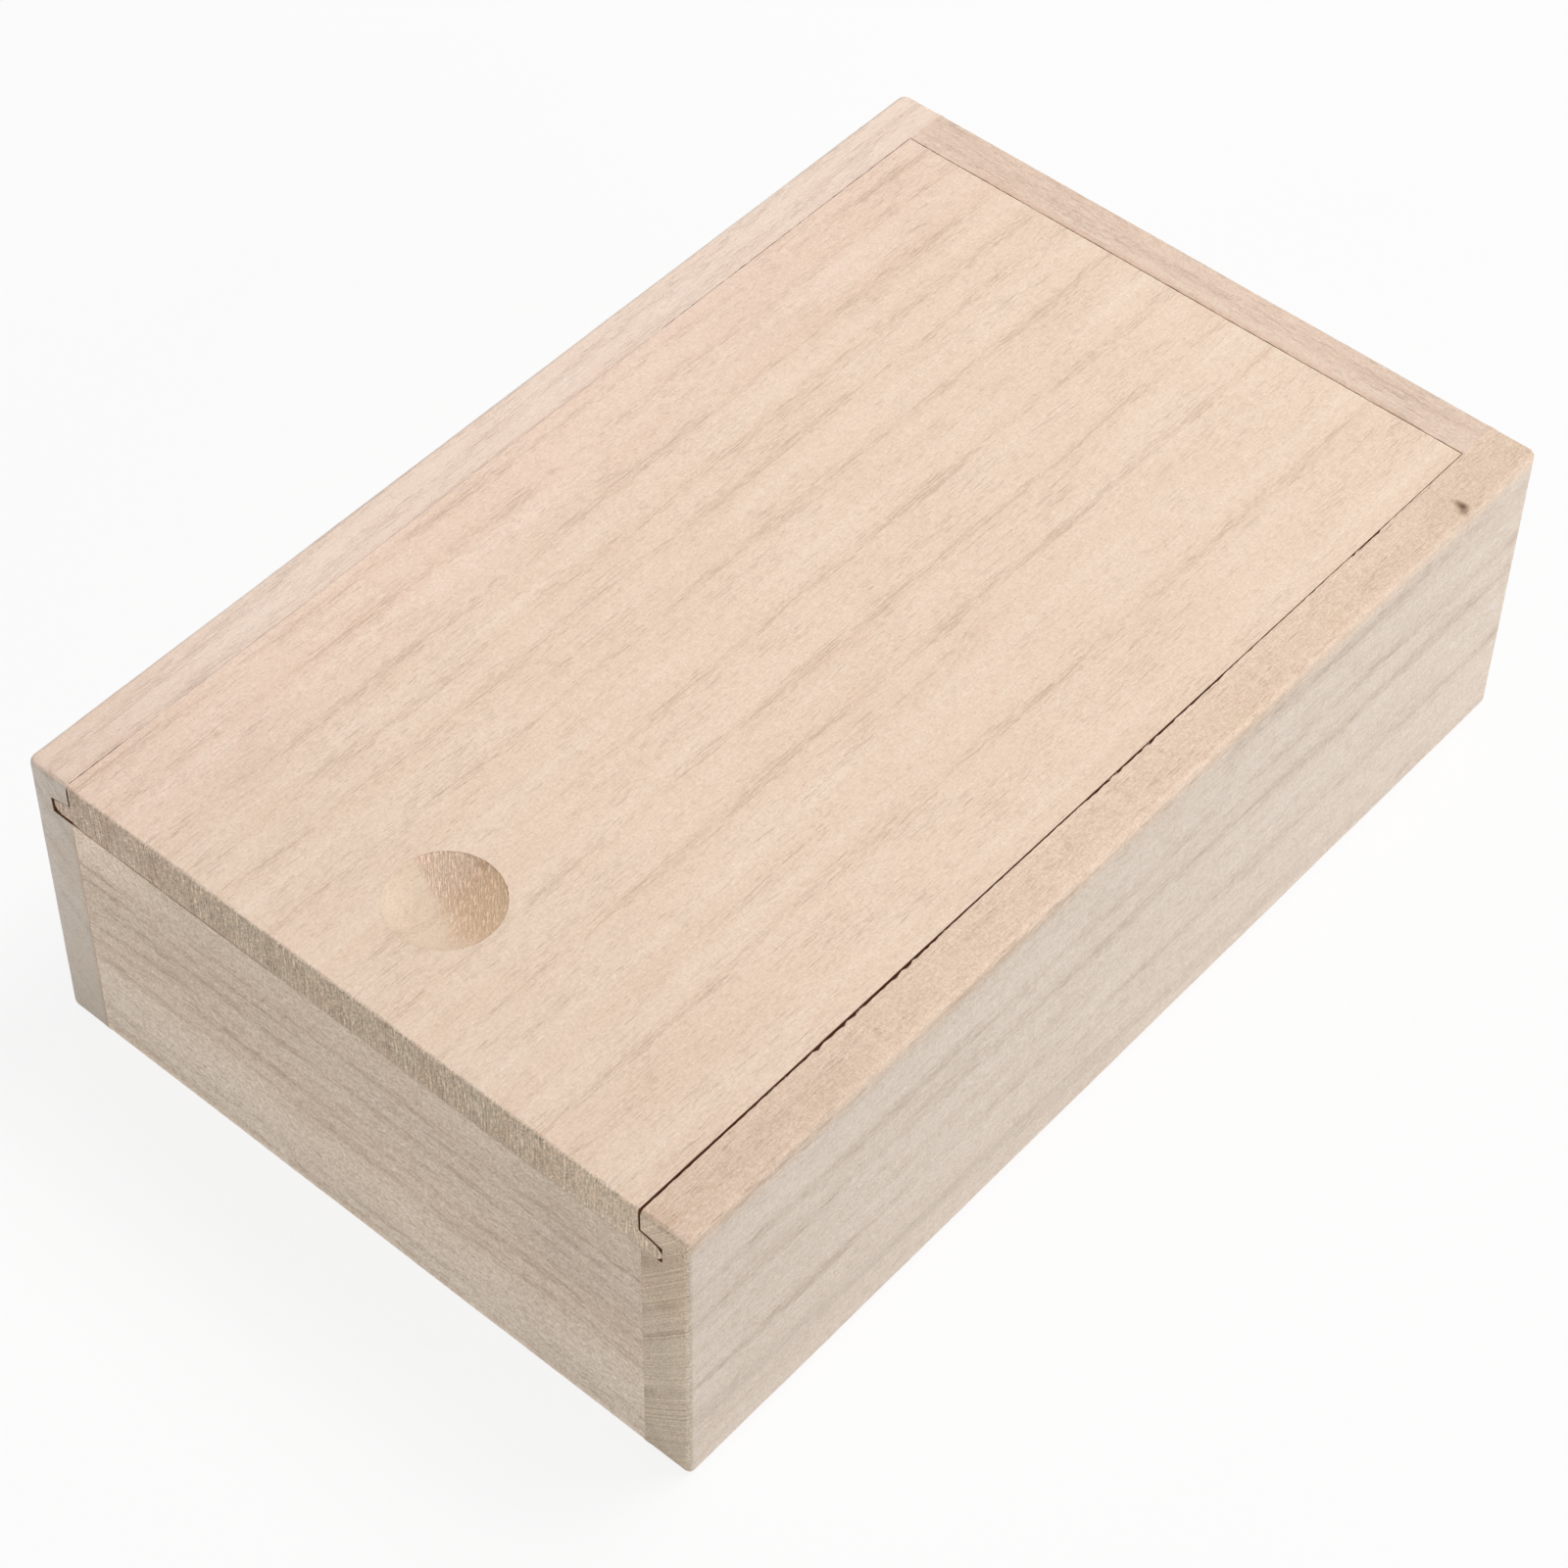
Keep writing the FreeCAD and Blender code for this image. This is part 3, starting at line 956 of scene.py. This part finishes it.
def right_wall_wood(settings):
    """Pinkish cream board with a pin knot at the back, a smudge and a dot at the front."""
    wood = Wood("right_wall", settings)
    shader = wood.shader
    low, high = corners("right_wall")
    top, outer = high[2], high[0]
    on_side = outer_face(wood, outer - 0.4, outer - 0.05)
    outer_grey = outer_face(wood, outer - 0.6, outer - 0.1)
    outer_grey = outer_grey * (1.0 - shader.where(z=(top - 3.0, top - 1.6)) * 0.7)
    wood.weather(outer_grey)
    along = shader.node("MapRange", {}, {"Value": shader.y, "From Min": low[1], "From Max": high[1]})
    wood.shade(on_side * (along * 0.125 - 0.075))
    slant = shader.z + (shader.y - low[1]) * 0.062
    slant = slant + wood.band * 1.5 + wood.noise(1.1, 9, 0.95) * 1.3
    figure = shader.band(slant, 11.2, 12.8, 2.0) * on_side
    figure = figure * (0.4 + shader.where(y=(50, -30)) * 0.6)
    wood.shade(figure * (-0.08 - wood.lines * 0.12))
    # Painted light from the floor: the lower end grain lighter and bluer.
    wood.tint(FLOOR_LIGHT_TINT, wood.end * shader.where(z=(42, 26)) * (1.0 - outer_grey))
    below_lip = shader.where(x=(58, 54), z=(44, 47, 5)) * 0.08
    outwards = shader.where(x=(55.5, 58.5), z=(24, 38, 10)) * 0.07
    lip = shader.where(z=(49.5, 50.5)) * 0.11
    wood.shade(wood.end * (outwards + lip - below_lip))
    on_top = shader.where(z=(top - 1.0, top - 0.3))
    wood.shade(on_top * (shader.where(y=(-35, -75)) * -0.09 - shader.where(y=(40, 80)) * 0.05))
    wood.tint(TOP_TINT, on_top)
    scratches = shader.step(shader.noise((0.28, 1.3, 0.8), 9.1, 2.0, 0.7), 0.0, 0.25)
    near_end = shader.where(y=(low[1], low[1] + 2.4, 0.8), x=(52.8, 56.6, 0.8))
    wood.dye("stain_and_shade", scratches * near_end * on_top * 0.6)
    wood.add_spots(
        "knot",
        ((58.1, 75.8, top), (1.6, 1.2, 0.9), 0.95),
        ((57.1, 75.9, top), (1.5, 0.9, 0.5), 0.4),
        ((58.8, 75.0, top - 0.15), (1.3, 1.2, 1.4), 0.6),
        ((54.6, -73, top), (1.1, 2.2, 0.6), 0.14),
        ((59.0, low[1], 50.9), (0.35, 0.6, 0.4), 0.5),
    )
    # Painted shade in the gap beside the lid.
    wood.paint_joint_shade(wall_joint_shade(wood))
    return wood.finish()


def left_wall_wood(settings):
    """Pale cream board with a reddish streak on its top, slanting out from the lid's front."""
    wood = Wood("left_wall", settings)
    shader = wood.shader
    low, high = corners("left_wall")
    top, outer, floor = high[2], -low[0], wood.sizes.groove_floor
    exposed = outer_face(wood, outer - 0.9, outer - 0.05)
    wood.weather(exposed.math("MAXIMUM", exposed, wood.end))
    spread = 0.6 + shader.where(y=(-30, -92)) * 1.1 + shader.where(y=(0, 70)) * 0.6
    beside = shader.step((shader.x - high[0]) * -1.0 / spread + wood.streaks * 0.3, 1.3, 0.5)
    on_top = shader.where(z=(top - 1.0, top - 0.2))
    wood.dye("stain_and_shade", beside * on_top * (0.05 + wood.streaks * 0.13))
    wood.dye("stain_and_shade", shader.where(y=(-50, -90)) * on_top * 0.17)
    bluish = shader.where(x=(low[0] + 5, low[0] + 0.5), z=(-10, 35))
    wood.tint(END_TINT, wood.end * (bluish * 0.5 + 0.1))
    by_board = shader.where(x=(high[0] - 1.1, high[0] - 0.2), z=(floor, floor - 3))
    wood.dye("stain_and_shade", by_board * wood.end * 0.22)
    # Painted shade in the gap beside the lid.
    wood.paint_joint_shade(wall_joint_shade(wood))
    return wood.finish()


# ---------------------------------------------------------------- front, back and bottom


class BOX_OT_front_board(bpy.types.Operator):
    """Make the low front board, which the lid slides over"""

    bl_idname = "box.front_board"
    bl_label = "Front board"

    def execute(self, context):
        sizes = context.scene.box_sizes
        low, high = corners("front_board")
        piece = start_plate("front", low, high)
        cut("z", *steps(low[2], high[2], 2.0))
        draw_out(high[1] - low[1])
        round_edges(sizes.rim, within(y=(low[1], low[1]), z=(low[2], low[2])))
        round_edges(sizes.arris * 1.6, within(y=(low[1], low[1]), z=(high[2], high[2])))
        sides = [within(x=(side, side), y=(low[1], low[1])) for side in (low[0], high[0])]
        round_edges(sizes.arris * 0.6, *sides, along="z", segments=2)
        add_rungs("x", 2, 45)
        put_down(piece)

        def face(x, y, z):
            return 1.0 if y < low[1] + 2 and abs(x) < high[0] - 0.1 else 0.0

        def upper_edge(x, y, z):
            return 1.0 if z > high[2] - 0.6 and y < low[1] + 2 else 0.0

        weather(piece, "planing", face, 0.10, (18, 5, 5), seed=4.0)
        weather(piece, "fuzz", face, 0.04, (1.8, 0.8, 0.8), seed=4.5)
        nicks = {"direction": "Z", "middle": 0.0, "seed": 4.2, "sharp": 1.8}
        weather(piece, "nicks", upper_edge, -0.12, (2.2, 1, 1), **nicks)
        finish_board(piece, "front_board", "box", front_board_wood(context.scene))
        return {"FINISHED"}


def front_board_wood(settings):
    """Greyish cream board with strong rings, with painted light and shade: lighter and bluer towards
    its foot and palest on its lower edge, where the pale floor lights it, and brown painted shade in
    the seam under the lid's left part.
    """
    wood = Wood("front_board", settings)
    shader = wood.shader
    front = corners("front_board")[0][1]
    # Painted light from the pale floor: lighter towards the foot, palest on the rounded lower edge.
    foot = shader.where(z=(2.6, 0.6)) * 0.22 + shader.where(z=(34, 3)) * 0.18
    corner = shader.where(x=(-28, -50), z=(34, 44)) * 0.17 - shader.where(x=(10, 45)) * 0.05
    wood.shade(foot + corner)
    wood.tint(FLOOR_LIGHT_TINT, shader.where(z=(22, 4)))
    # Painted shade in the seam under the lid's left part.
    upper = shader.where(x=(CLOSED_FROM, CLOSED_FROM - 16), z=(45.8, 46.15))
    wood.dye("joint_shade", upper * shader.where(y=(front + 2.0, front + 1.1)) * 0.8)
    return wood.finish()


class BOX_OT_back_board(bpy.types.Operator):
    """Make the full height back board"""

    bl_idname = "box.back_board"
    bl_label = "Back board"

    def execute(self, context):
        sizes = context.scene.box_sizes
        low, high = corners("back_board")
        piece = start_plate("back", low, high)
        cut("z", *steps(low[2], high[2], WALL_CELL))
        draw_out(high[1] - low[1])
        outside = [within(y=(high[1], high[1]), z=(level, level)) for level in (low[2], high[2])]
        round_edges(sizes.rim, *outside)
        cut("y", *steps(low[1], high[1] - sizes.rim, 1.4))
        add_rungs("x", 2, 45)
        put_down(piece)

        def outside_face(x, y, z):
            return 1.0 if y > low[1] + 0.1 and abs(x) < high[0] - 0.1 else 0.0

        def lip(x, y, z):
            return 1.0 if y < low[1] + CLOSE and z > high[2] - CLOSE else 0.0

        weather(piece, "planing", outside_face, 0.10, (16, 5, 5), seed=5.0)
        weather(piece, "fuzz", outside_face, 0.04, (1.6, 0.8, 0.8), seed=5.5)
        nicks = {"direction": "Y", "middle": 0.0, "seed": 5.2, "sharp": 1.8}
        weather(piece, "nicks", lip, 0.14, (1.8, 1, 1), **nicks)
        finish_board(piece, "back_board", "box", back_board_wood(context.scene))
        return {"FINISHED"}


def back_board_wood(settings):
    """Light tan board whose top has short flecks, darker at its right, and darker along the lid's back
    end, there partly stained and partly painted shade, with painted shade inside the gap behind the
    lid.
    """
    wood = Wood("back_board", settings)
    shader = wood.shader
    low, high = corners("back_board")
    inner, outer, top = low[1], high[1], high[2]
    wood.shade(shader.where(x=(10, 50)) * -0.055)
    flecks = shader.step(wood.noise(0.35, 2.4, 2.1, 2.0, 0.6), 0.16, 0.45)
    on_top = shader.where(z=(top - 1.2, top - 0.2))
    wood.dye("stain_and_shade", flecks * on_top * 0.36)
    # Partly stained and partly painted shade, along the lid's back end.
    wood.dye("stain_and_shade", shader.where(x=(-35, 40, 8), y=(inner + 1.6, inner)) * on_top * 0.4)
    wood.weather(shader.where(y=(outer - 0.9, outer - 0.05)))
    # Painted shade on the inner face, in the gap behind the lid.
    wood.paint_joint_shade(shader.where(y=(inner + 0.2, inner + 0.02), z=(top - 1.0, top - 0.4, 0.3)))
    return wood.finish()


class BOX_OT_bottom_panel(bpy.types.Operator):
    """Make the bottom panel between the four boards"""

    bl_idname = "box.bottom_panel"
    bl_label = "Bottom panel"

    def execute(self, context):
        sizes = context.scene.box_sizes
        low, high = corners("bottom_panel")
        piece = start_plate("bottom", low, high)
        cut("x", *steps(low[0], high[0], 4.0))
        draw_out(high[1] - low[1])
        rims = [within(z=(level, level)) for level in (low[2], high[2])]
        round_edges(sizes.arris, *rims, segments=2)
        add_rungs("y", 1, 39)
        put_down(piece)

        def upper(x, y, z):
            return 1.0 if z > high[2] - CLOSE else 0.0

        weather(piece, "planing", upper, 0.12, (5, 18, 5), seed=6.0)
        finish_board(piece, "bottom_panel", "box", bottom_panel_wood(context.scene))
        return {"FINISHED"}


def bottom_panel_wood(settings):
    """Cream board, a little greyer on its underside."""
    wood = Wood("bottom_panel", settings)
    wood.weather(wood.shader.where(z=(0.6, 0.1)))
    return wood.finish()


# ---------------------------------------------------------------- lid

LID_CELL = 2.0
LID_LIP = 0.6
HALFWAY = 15
CLOSED_FROM = -12
SHADE_TURN = math.radians(72)
FIBRE_TURN = math.radians(130)
BLUSH = (1.0, 0.98, 1.0)
TORN_SHADE_TINT = (1.03, 1.06, 1.18)
WEAVE = 0.95


class BOX_OT_lid(bpy.types.Operator):
    """Make the sliding lid with its tongues and its finger scoop"""

    bl_idname = "box.lid"
    bl_label = "Lid"

    def execute(self, context):
        sizes = context.scene.box_sizes
        piece = self.shape(sizes)
        self.cut_scoop(piece, sizes)
        self.weather_lid(piece, sizes)
        finish_board(piece, "lid", "lid", lid_wood(context.scene))
        return {"FINISHED"}

    def shape(self, sizes):
        """The board with a sloped tongue along each side; it narrows a little to the front."""
        low, high = corners("lid")
        inner = corners("right_wall")[0][0]
        left, right = -(inner - sizes.left_gap), inner - sizes.back_gap
        piece = start_plate("sliding_lid", low, high)
        cut("x", left, *steps(left, right, LID_CELL), right)
        cut("z", sizes.tongue_top, high[2] - LID_LIP)
        raised = (sizes.tongue_top, high[2])
        take_out(within(x=(low[0], left), z=raised), within(x=(right, high[0]), z=raised))
        self.fit_tongues(sizes, left)
        draw_out(high[1] - low[1])
        cut("y", HALFWAY)
        for y, gap in ((low[1], sizes.front_gap), (HALFWAY, sizes.middle_gap)):
            shift((sizes.back_gap - gap, 0, 0), within(x=(right, right), y=(y, y), z=raised))
        to_back = corners("back_board")[0][1] - sizes.rear_gap - high[1]
        shift((0, to_back, 0), within(y=(high[1], high[1])))
        self.ease_edges(sizes)
        add_rungs("y", 1, 40)
        put_down(piece)
        return piece

    def fit_tongues(self, sizes, left):
        """Slope the tongues and close the gaps where the lid fits tightly."""
        low, high = corners("lid")
        groove = corners("right_wall")[0][0] + sizes.groove_depth
        level = (sizes.tongue_top, sizes.groove_roof)
        rise = sizes.groove_roof - sizes.snug - sizes.tongue_top
        shift((0, 0, rise), within(x=(low[0], left), z=level))
        for tip in (low[0], high[0]):
            shift((0, 0, -sizes.tongue_drop), within(x=(tip, tip), z=level))
        shift((low[0] + groove, 0, 0), within(x=(low[0], low[0]), z=(low[2] + 1, high[2])))
        shift((groove - sizes.snug - high[0], 0, 0), within(x=(high[0], high[0])))
        beside = within(x=(left, left), z=(sizes.tongue_top, high[2] - LID_LIP))
        shift((sizes.left_slit - sizes.left_gap, 0, 0), beside)
        under = (low[2], low[2])
        shift((0, 0, sizes.left_lift), within(x=(low[0], left), z=under))
        floor = sizes.groove_floor - low[2]
        shift((0, 0, floor + sizes.seam), within(x=(left + 1, CLOSED_FROM), z=under))
        shift((0, 0, floor + sizes.snug), within(x=(CLOSED_FROM + 1, groove), z=under))

    def ease_edges(self, sizes):
        """Round the front edges and the corners of the tongues' tips."""
        low, high = corners("lid")
        tip = corners("right_wall")[0][0] + sizes.groove_depth - sizes.snug
        front = (low[1], low[1])
        under = (sizes.groove_floor, low[2] + sizes.left_lift)
        round_edges(sizes.left_tip, within(x=(low[0], low[0]), z=under), along="y")
        round_edges(sizes.right_tip, within(x=(tip, tip)), along="y", segments=1)
        round_edges(sizes.lid_edge, within(y=front, z=(high[2], high[2])), segments=4)
        lower = within(x=(low[0] + 1, tip - 3), y=front, z=under)
        round_edges(sizes.arris * 0.6, lower, segments=2)

    def cut_scoop(self, piece, sizes):
        """Cut the finger scoop with the lower cap of a fine ball."""
        top = corners("lid")[1][2]
        deselect()
        rise = top + sizes.scoop_ball - sizes.scoop_depth
        centre = [sizes.scoop_x * MM, sizes.scoop_y * MM, rise * MM]
        bpy.ops.mesh.primitive_uv_sphere_add(
            segments=160, ring_count=200, radius=sizes.scoop_ball * MM, location=centre
        )
        ball = bpy.context.active_object
        bpy.ops.object.transform_apply(location=True)
        bpy.ops.object.mode_set(mode="EDIT")
        bpy.ops.mesh.select_all(action="SELECT")
        level = (0, 0, (top + 0.4) * MM)
        bpy.ops.mesh.bisect(plane_co=level, plane_no=(0, 0, 1), clear_outer=True, use_fill=True)
        put_down(ball)
        hold(piece)
        scoop = piece.modifiers.new("scoop", "BOOLEAN")
        scoop.operation = "DIFFERENCE"
        scoop.solver = "EXACT"
        scoop.object = ball
        bpy.ops.object.modifier_apply(modifier="scoop")
        bpy.data.objects.remove(ball)

    def weather_lid(self, piece, sizes):
        low, high = corners("lid")
        centre = Vector((sizes.scoop_x, sizes.scoop_y, high[2] + sizes.scoop_ball - sizes.scoop_depth))

        def in_scoop(x, y, z):
            return z < high[2] - 0.01 and (Vector((x, y, z)) - centre).length < sizes.scoop_ball + 0.01

        def surface(x, y, z):
            return 0.0 if z < sizes.tongue_top + 0.1 or in_scoop(x, y, z) else 1.0

        def front(x, y, z):
            return 1.0 if y < low[1] + CLOSE and low[2] + 0.3 < z < high[2] - 1 else 0.0

        def torn(x, y, z):
            if not in_scoop(x, y, z):
                return 0.0
            reach = (x - centre.x) * math.cos(SHADE_TURN) + (y - centre.y) * math.sin(SHADE_TURN)
            return min(max(0.15 + reach * 0.4, 0.0), 1.0)

        def front_edge(x, y, z):
            return 1.0 if y < low[1] + 0.3 and z > high[2] - 0.3 else 0.0

        weather(piece, "planing", surface, 0.08, (5, 18, 5), seed=1.0)
        weather(piece, "sawn", front, 0.10, (1.2, 1, 4), seed=1.3)
        weather(piece, "torn", torn, 0.16, (0.45, 0.7, 0.45), seed=1.6)
        weather(piece, "nicks", front_edge, 0.14, (0.9, 1, 1), seed=1.8)


def lid_wood(settings):
    """Pale board of many faint rings, pinkish at the left and yellowish at the right."""
    wood = Wood("lid", settings)
    shader = wood.shader
    low, high = corners("lid")
    add_hatch(wood)
    wood.tint(BLUSH, shader.where(x=(-22, -50)))
    wood.shade(shader.where(y=(-40, -84)) * -0.04 - shader.where(x=(-5, 40)) * 0.015)
    add_scoop(wood, high[2])
    ticks = shader.noise((0.28, 2.0, 2.2), 1.77, 2.0, 0.7)
    sawn = shader.where(y=(low[1] + 0.6, low[1] + 0.1))
    paler = shader.where(x=(20, 48)) * 0.14 - 0.08
    wood.shade(sawn * (ticks * 0.70 + wood.grit * 0.4 + paler))
    # Painted shade on the lid's sides, in the gaps beside the walls.
    side = shader.step(abs(shader.x), 51.3, 51.45)
    deep = shader.where(z=(high[2] - 0.02, high[2] - 0.15))
    wood.paint_joint_shade(side * deep * wood.near_opening(low, high))
    return wood.finish()


def add_hatch(wood):
    """A woven looking cross ripple at the lid's left, strongest in its front half."""
    shader = wood.shader
    place = shader.where(x=(-32, -44)) * (0.3 + shader.where(y=(50, -20)) * 0.7)
    broken = shader.noise((2.5, 2.5, 5.0), 4.4, 2.0, 0.6)
    waves = [
        (axis * (math.tau / WEAVE) + broken * 2.5).math("SINE") for axis in (shader.x, shader.y)
    ]
    wood.shade(place * (waves[0] * 0.6 + waves[1]) * (0.035 + broken * 0.04))


def add_scoop(wood, top):
    """Rough darker fibres in the half of the scoop that was cut against the grain; that half faces away
    from the key lamp, so its darker colour is partly painted shade, and the smooth lit half is toned
    with painted light.
    """
    shader, sizes = wood.shader, wood.sizes
    rim = (sizes.scoop_ball**2 - (sizes.scoop_ball - sizes.scoop_depth) ** 2) ** 0.5
    across = shader.x - sizes.scoop_x
    along = shader.y - sizes.scoop_y
    reach = (across * across + along * along) ** 0.5
    bowl = shader.step(reach, rim + 0.12, rim + 0.02) * shader.step(shader.z, top - 5, top - 4)
    shade = across * math.cos(SHADE_TURN) + along * math.sin(SHADE_TURN)
    forwards = across * math.sin(SHADE_TURN) - along * math.cos(SHADE_TURN)
    spread = 1.2 + shader.step(forwards, -4, 5) * 3.2
    shade = shade + shader.step(forwards, 0, 6) * 1.5
    # The torn half lies where the bowl faces away from the key lamp: its darker colour is partly torn
    # grain and partly painted shade.
    torn = bowl * shader.step(shade / spread + shader.noise((1.2, 1.2, 1.2), 7.7) * 0.7, -0.8, 0.9)
    beside = across * math.sin(FIBRE_TURN) - along * math.cos(FIBRE_TURN)
    lengthwise = across * math.cos(FIBRE_TURN) + along * math.sin(FIBRE_TURN)
    straight = shader.noise_at(shader.join(beside / 0.24, lengthwise / 1.3, 7.1), 2.0, 0.7)
    angle = reach.math("ARCTAN2", along, across)
    curved = shader.noise_at(shader.join(angle * 3.6, reach / 0.24, 3.3), 2.0, 0.7)
    at_right = shader.step(beside, 1.5, 6.0) * shader.step(along, 3.0, -2.0)
    fibres = straight * (1.0 - at_right) + curved * at_right
    fibres = shader.step(fibres, -0.18, 0.22) - 0.5
    # Painted light and shade: the lit half a little darker, the bowl's front part lighter, and the torn
    # half darker and warmer, bluer at its left.
    wood.tint(wood.colours.scoop_lit, bowl * (1.0 - torn))
    wood.shade(bowl * shader.step(along, 1.0, -8.0) * 0.10)
    wood.tint(wood.colours.scoop, torn)
    wood.shade(torn * (0.13 - shader.step(forwards, 3.0, -5.0) * 0.07))
    wood.tint(TORN_SHADE_TINT, torn * shader.step(across, 3.0, -5.0))
    pale = shader.step(curved + straight, 0.2, 0.5) * shader.band(reach, rim - 0.5, rim + 0.3, 0.4)
    wood.dye("lid", pale * shader.step(beside, 4.0, 7.0) * 0.6)
    behind = (sizes.scoop_x - 0.8, sizes.scoop_y + rim - 0.6, top - 0.4)
    wood.add_spots("stain_and_shade", (behind, (1.5, 0.9, 1.2), 0.6))
    wood.height = fibres * torn * 0.12
    wood.dye("lid", torn * shader.step(fibres, 0.0, 0.5) * 0.32)
    wood.shade(fibres * torn * 0.26)


# ---------------------------------------------------------------- stage

CAMERA_PLACE = (254.359, -307.027, 479.425)
CAMERA_TURN = (40.578, -0.7363, 40.9333)
SENSOR_WIDTH = 36.0
FLOOR_WHITE = 0.85
LAMPS = {
    "key": (58, 68, 1.3, 0.55),
    "side": (0, 15, 1.4, 0.9),
    "front": (-100, 20, 1.5, 0.9),
    "back": (150, 25, 1.5, 0.9),
}


def add_lamp(name, azimuth, elevation, distance, size, power):
    """A square area lamp that looks at the box: degrees from +X towards +Y and up, metres, watts."""
    turn, rise = math.radians(azimuth), math.radians(elevation)
    away = Vector(
        (math.cos(turn) * math.cos(rise), math.sin(turn) * math.cos(rise), math.sin(rise))
    )
    lamp = bpy.data.lights.new(name, "AREA")
    lamp.size = size
    lamp.energy = power
    holder = bpy.data.objects.new(name, lamp)
    holder.location = away * distance
    holder.rotation_euler = away.to_track_quat("Z", "Y").to_euler()
    bpy.context.scene.collection.objects.link(holder)


class BOX_OT_stage(bpy.types.Operator):
    """Make the floor, the lamps and the camera"""

    bl_idname = "box.stage"
    bl_label = "Stage"

    def execute(self, context):
        stage = context.scene.box_stage
        self.add_floor(stage)
        self.add_sky(context.scene, stage)
        for name, place in LAMPS.items():
            add_lamp(f"{name}_lamp", *place, getattr(stage, name))
        self.add_camera(context.scene, stage)
        context.scene.view_settings.view_transform = "Standard"
        return {"FINISHED"}

    def add_floor(self, stage):
        deselect()
        bpy.ops.mesh.primitive_plane_add(size=12)
        floor = bpy.context.active_object
        floor.name = "floor"
        nodes = Nodes(bpy.data.materials.new("pale_floor"))
        matt = nodes.node("BsdfDiffuse", {}, {"Color": (*stage.floor, 1.0)})
        white = nodes.node("Emission", {}, {"Color": grey(1.0), "Strength": 1.0})
        share = nodes.seen_directly() * FLOOR_WHITE
        surface = nodes.node("MixShader", {}, {0: share, 1: matt, 2: white})
        nodes.node("OutputMaterial", {}, {"Surface": surface})
        floor.data.materials.append(nodes.owner)

    def add_sky(self, scene, stage):
        scene.world = bpy.data.worlds.new("sky")
        nodes = Nodes(scene.world)
        plain = nodes.node("Background", {}, {"Color": grey(1.0), "Strength": stage.sky})
        white = nodes.node("Background", {}, {"Color": grey(1.0), "Strength": 1.0})
        sky = nodes.node("MixShader", {}, {0: nodes.seen_directly(), 1: plain, 2: white})
        nodes.node("OutputWorld", {}, {"Surface": sky})

    def add_camera(self, scene, stage):
        camera = bpy.data.cameras.new("camera")
        camera.lens = stage.lens
        camera.sensor_width = SENSOR_WIDTH
        camera.clip_start = 0.05
        holder = bpy.data.objects.new("camera", camera)
        holder.location = Vector(CAMERA_PLACE) * MM
        holder.rotation_euler = Euler([math.radians(angle) for angle in CAMERA_TURN])
        scene.collection.objects.link(holder)
        scene.camera = holder


# ---------------------------------------------------------------- add-on


class BOX_PT_panel(bpy.types.Panel):
    """The box's operators, in the sidebar of the 3D view"""

    bl_idname = "BOX_PT_panel"
    bl_label = "Sliding Lid Box"
    bl_space_type = "VIEW_3D"
    bl_region_type = "UI"
    bl_category = "Box"

    def draw(self, context):
        for operator in OPERATORS:
            self.layout.operator(operator.bl_idname)


OPERATORS = (
    BOX_OT_walls,
    BOX_OT_front_board,
    BOX_OT_back_board,
    BOX_OT_bottom_panel,
    BOX_OT_lid,
    BOX_OT_stage,
)
GROUPS = {
    "box_sizes": BoxSizes,
    "box_colours": BoxColours,
    "box_grain": BoxGrain,
    "box_stage": BoxStage,
}


def register():
    for group in GROUPS.values():
        bpy.utils.register_class(group)
    for operator in OPERATORS:
        bpy.utils.register_class(operator)
    bpy.utils.register_class(BOX_PT_panel)
    for name, group in GROUPS.items():
        setattr(bpy.types.Scene, name, bpy.props.PointerProperty(type=group))


def unregister():
    for name in GROUPS:
        delattr(bpy.types.Scene, name)
    bpy.utils.unregister_class(BOX_PT_panel)
    for operator in reversed(OPERATORS):
        bpy.utils.unregister_class(operator)
    for group in reversed(GROUPS.values()):
        bpy.utils.unregister_class(group)


def main():
    register()
    bpy.ops.box.walls()
    bpy.ops.box.front_board()
    bpy.ops.box.back_board()
    bpy.ops.box.bottom_panel()
    bpy.ops.box.lid()
    bpy.ops.box.stage()


if __name__ == "__main__":
    main()
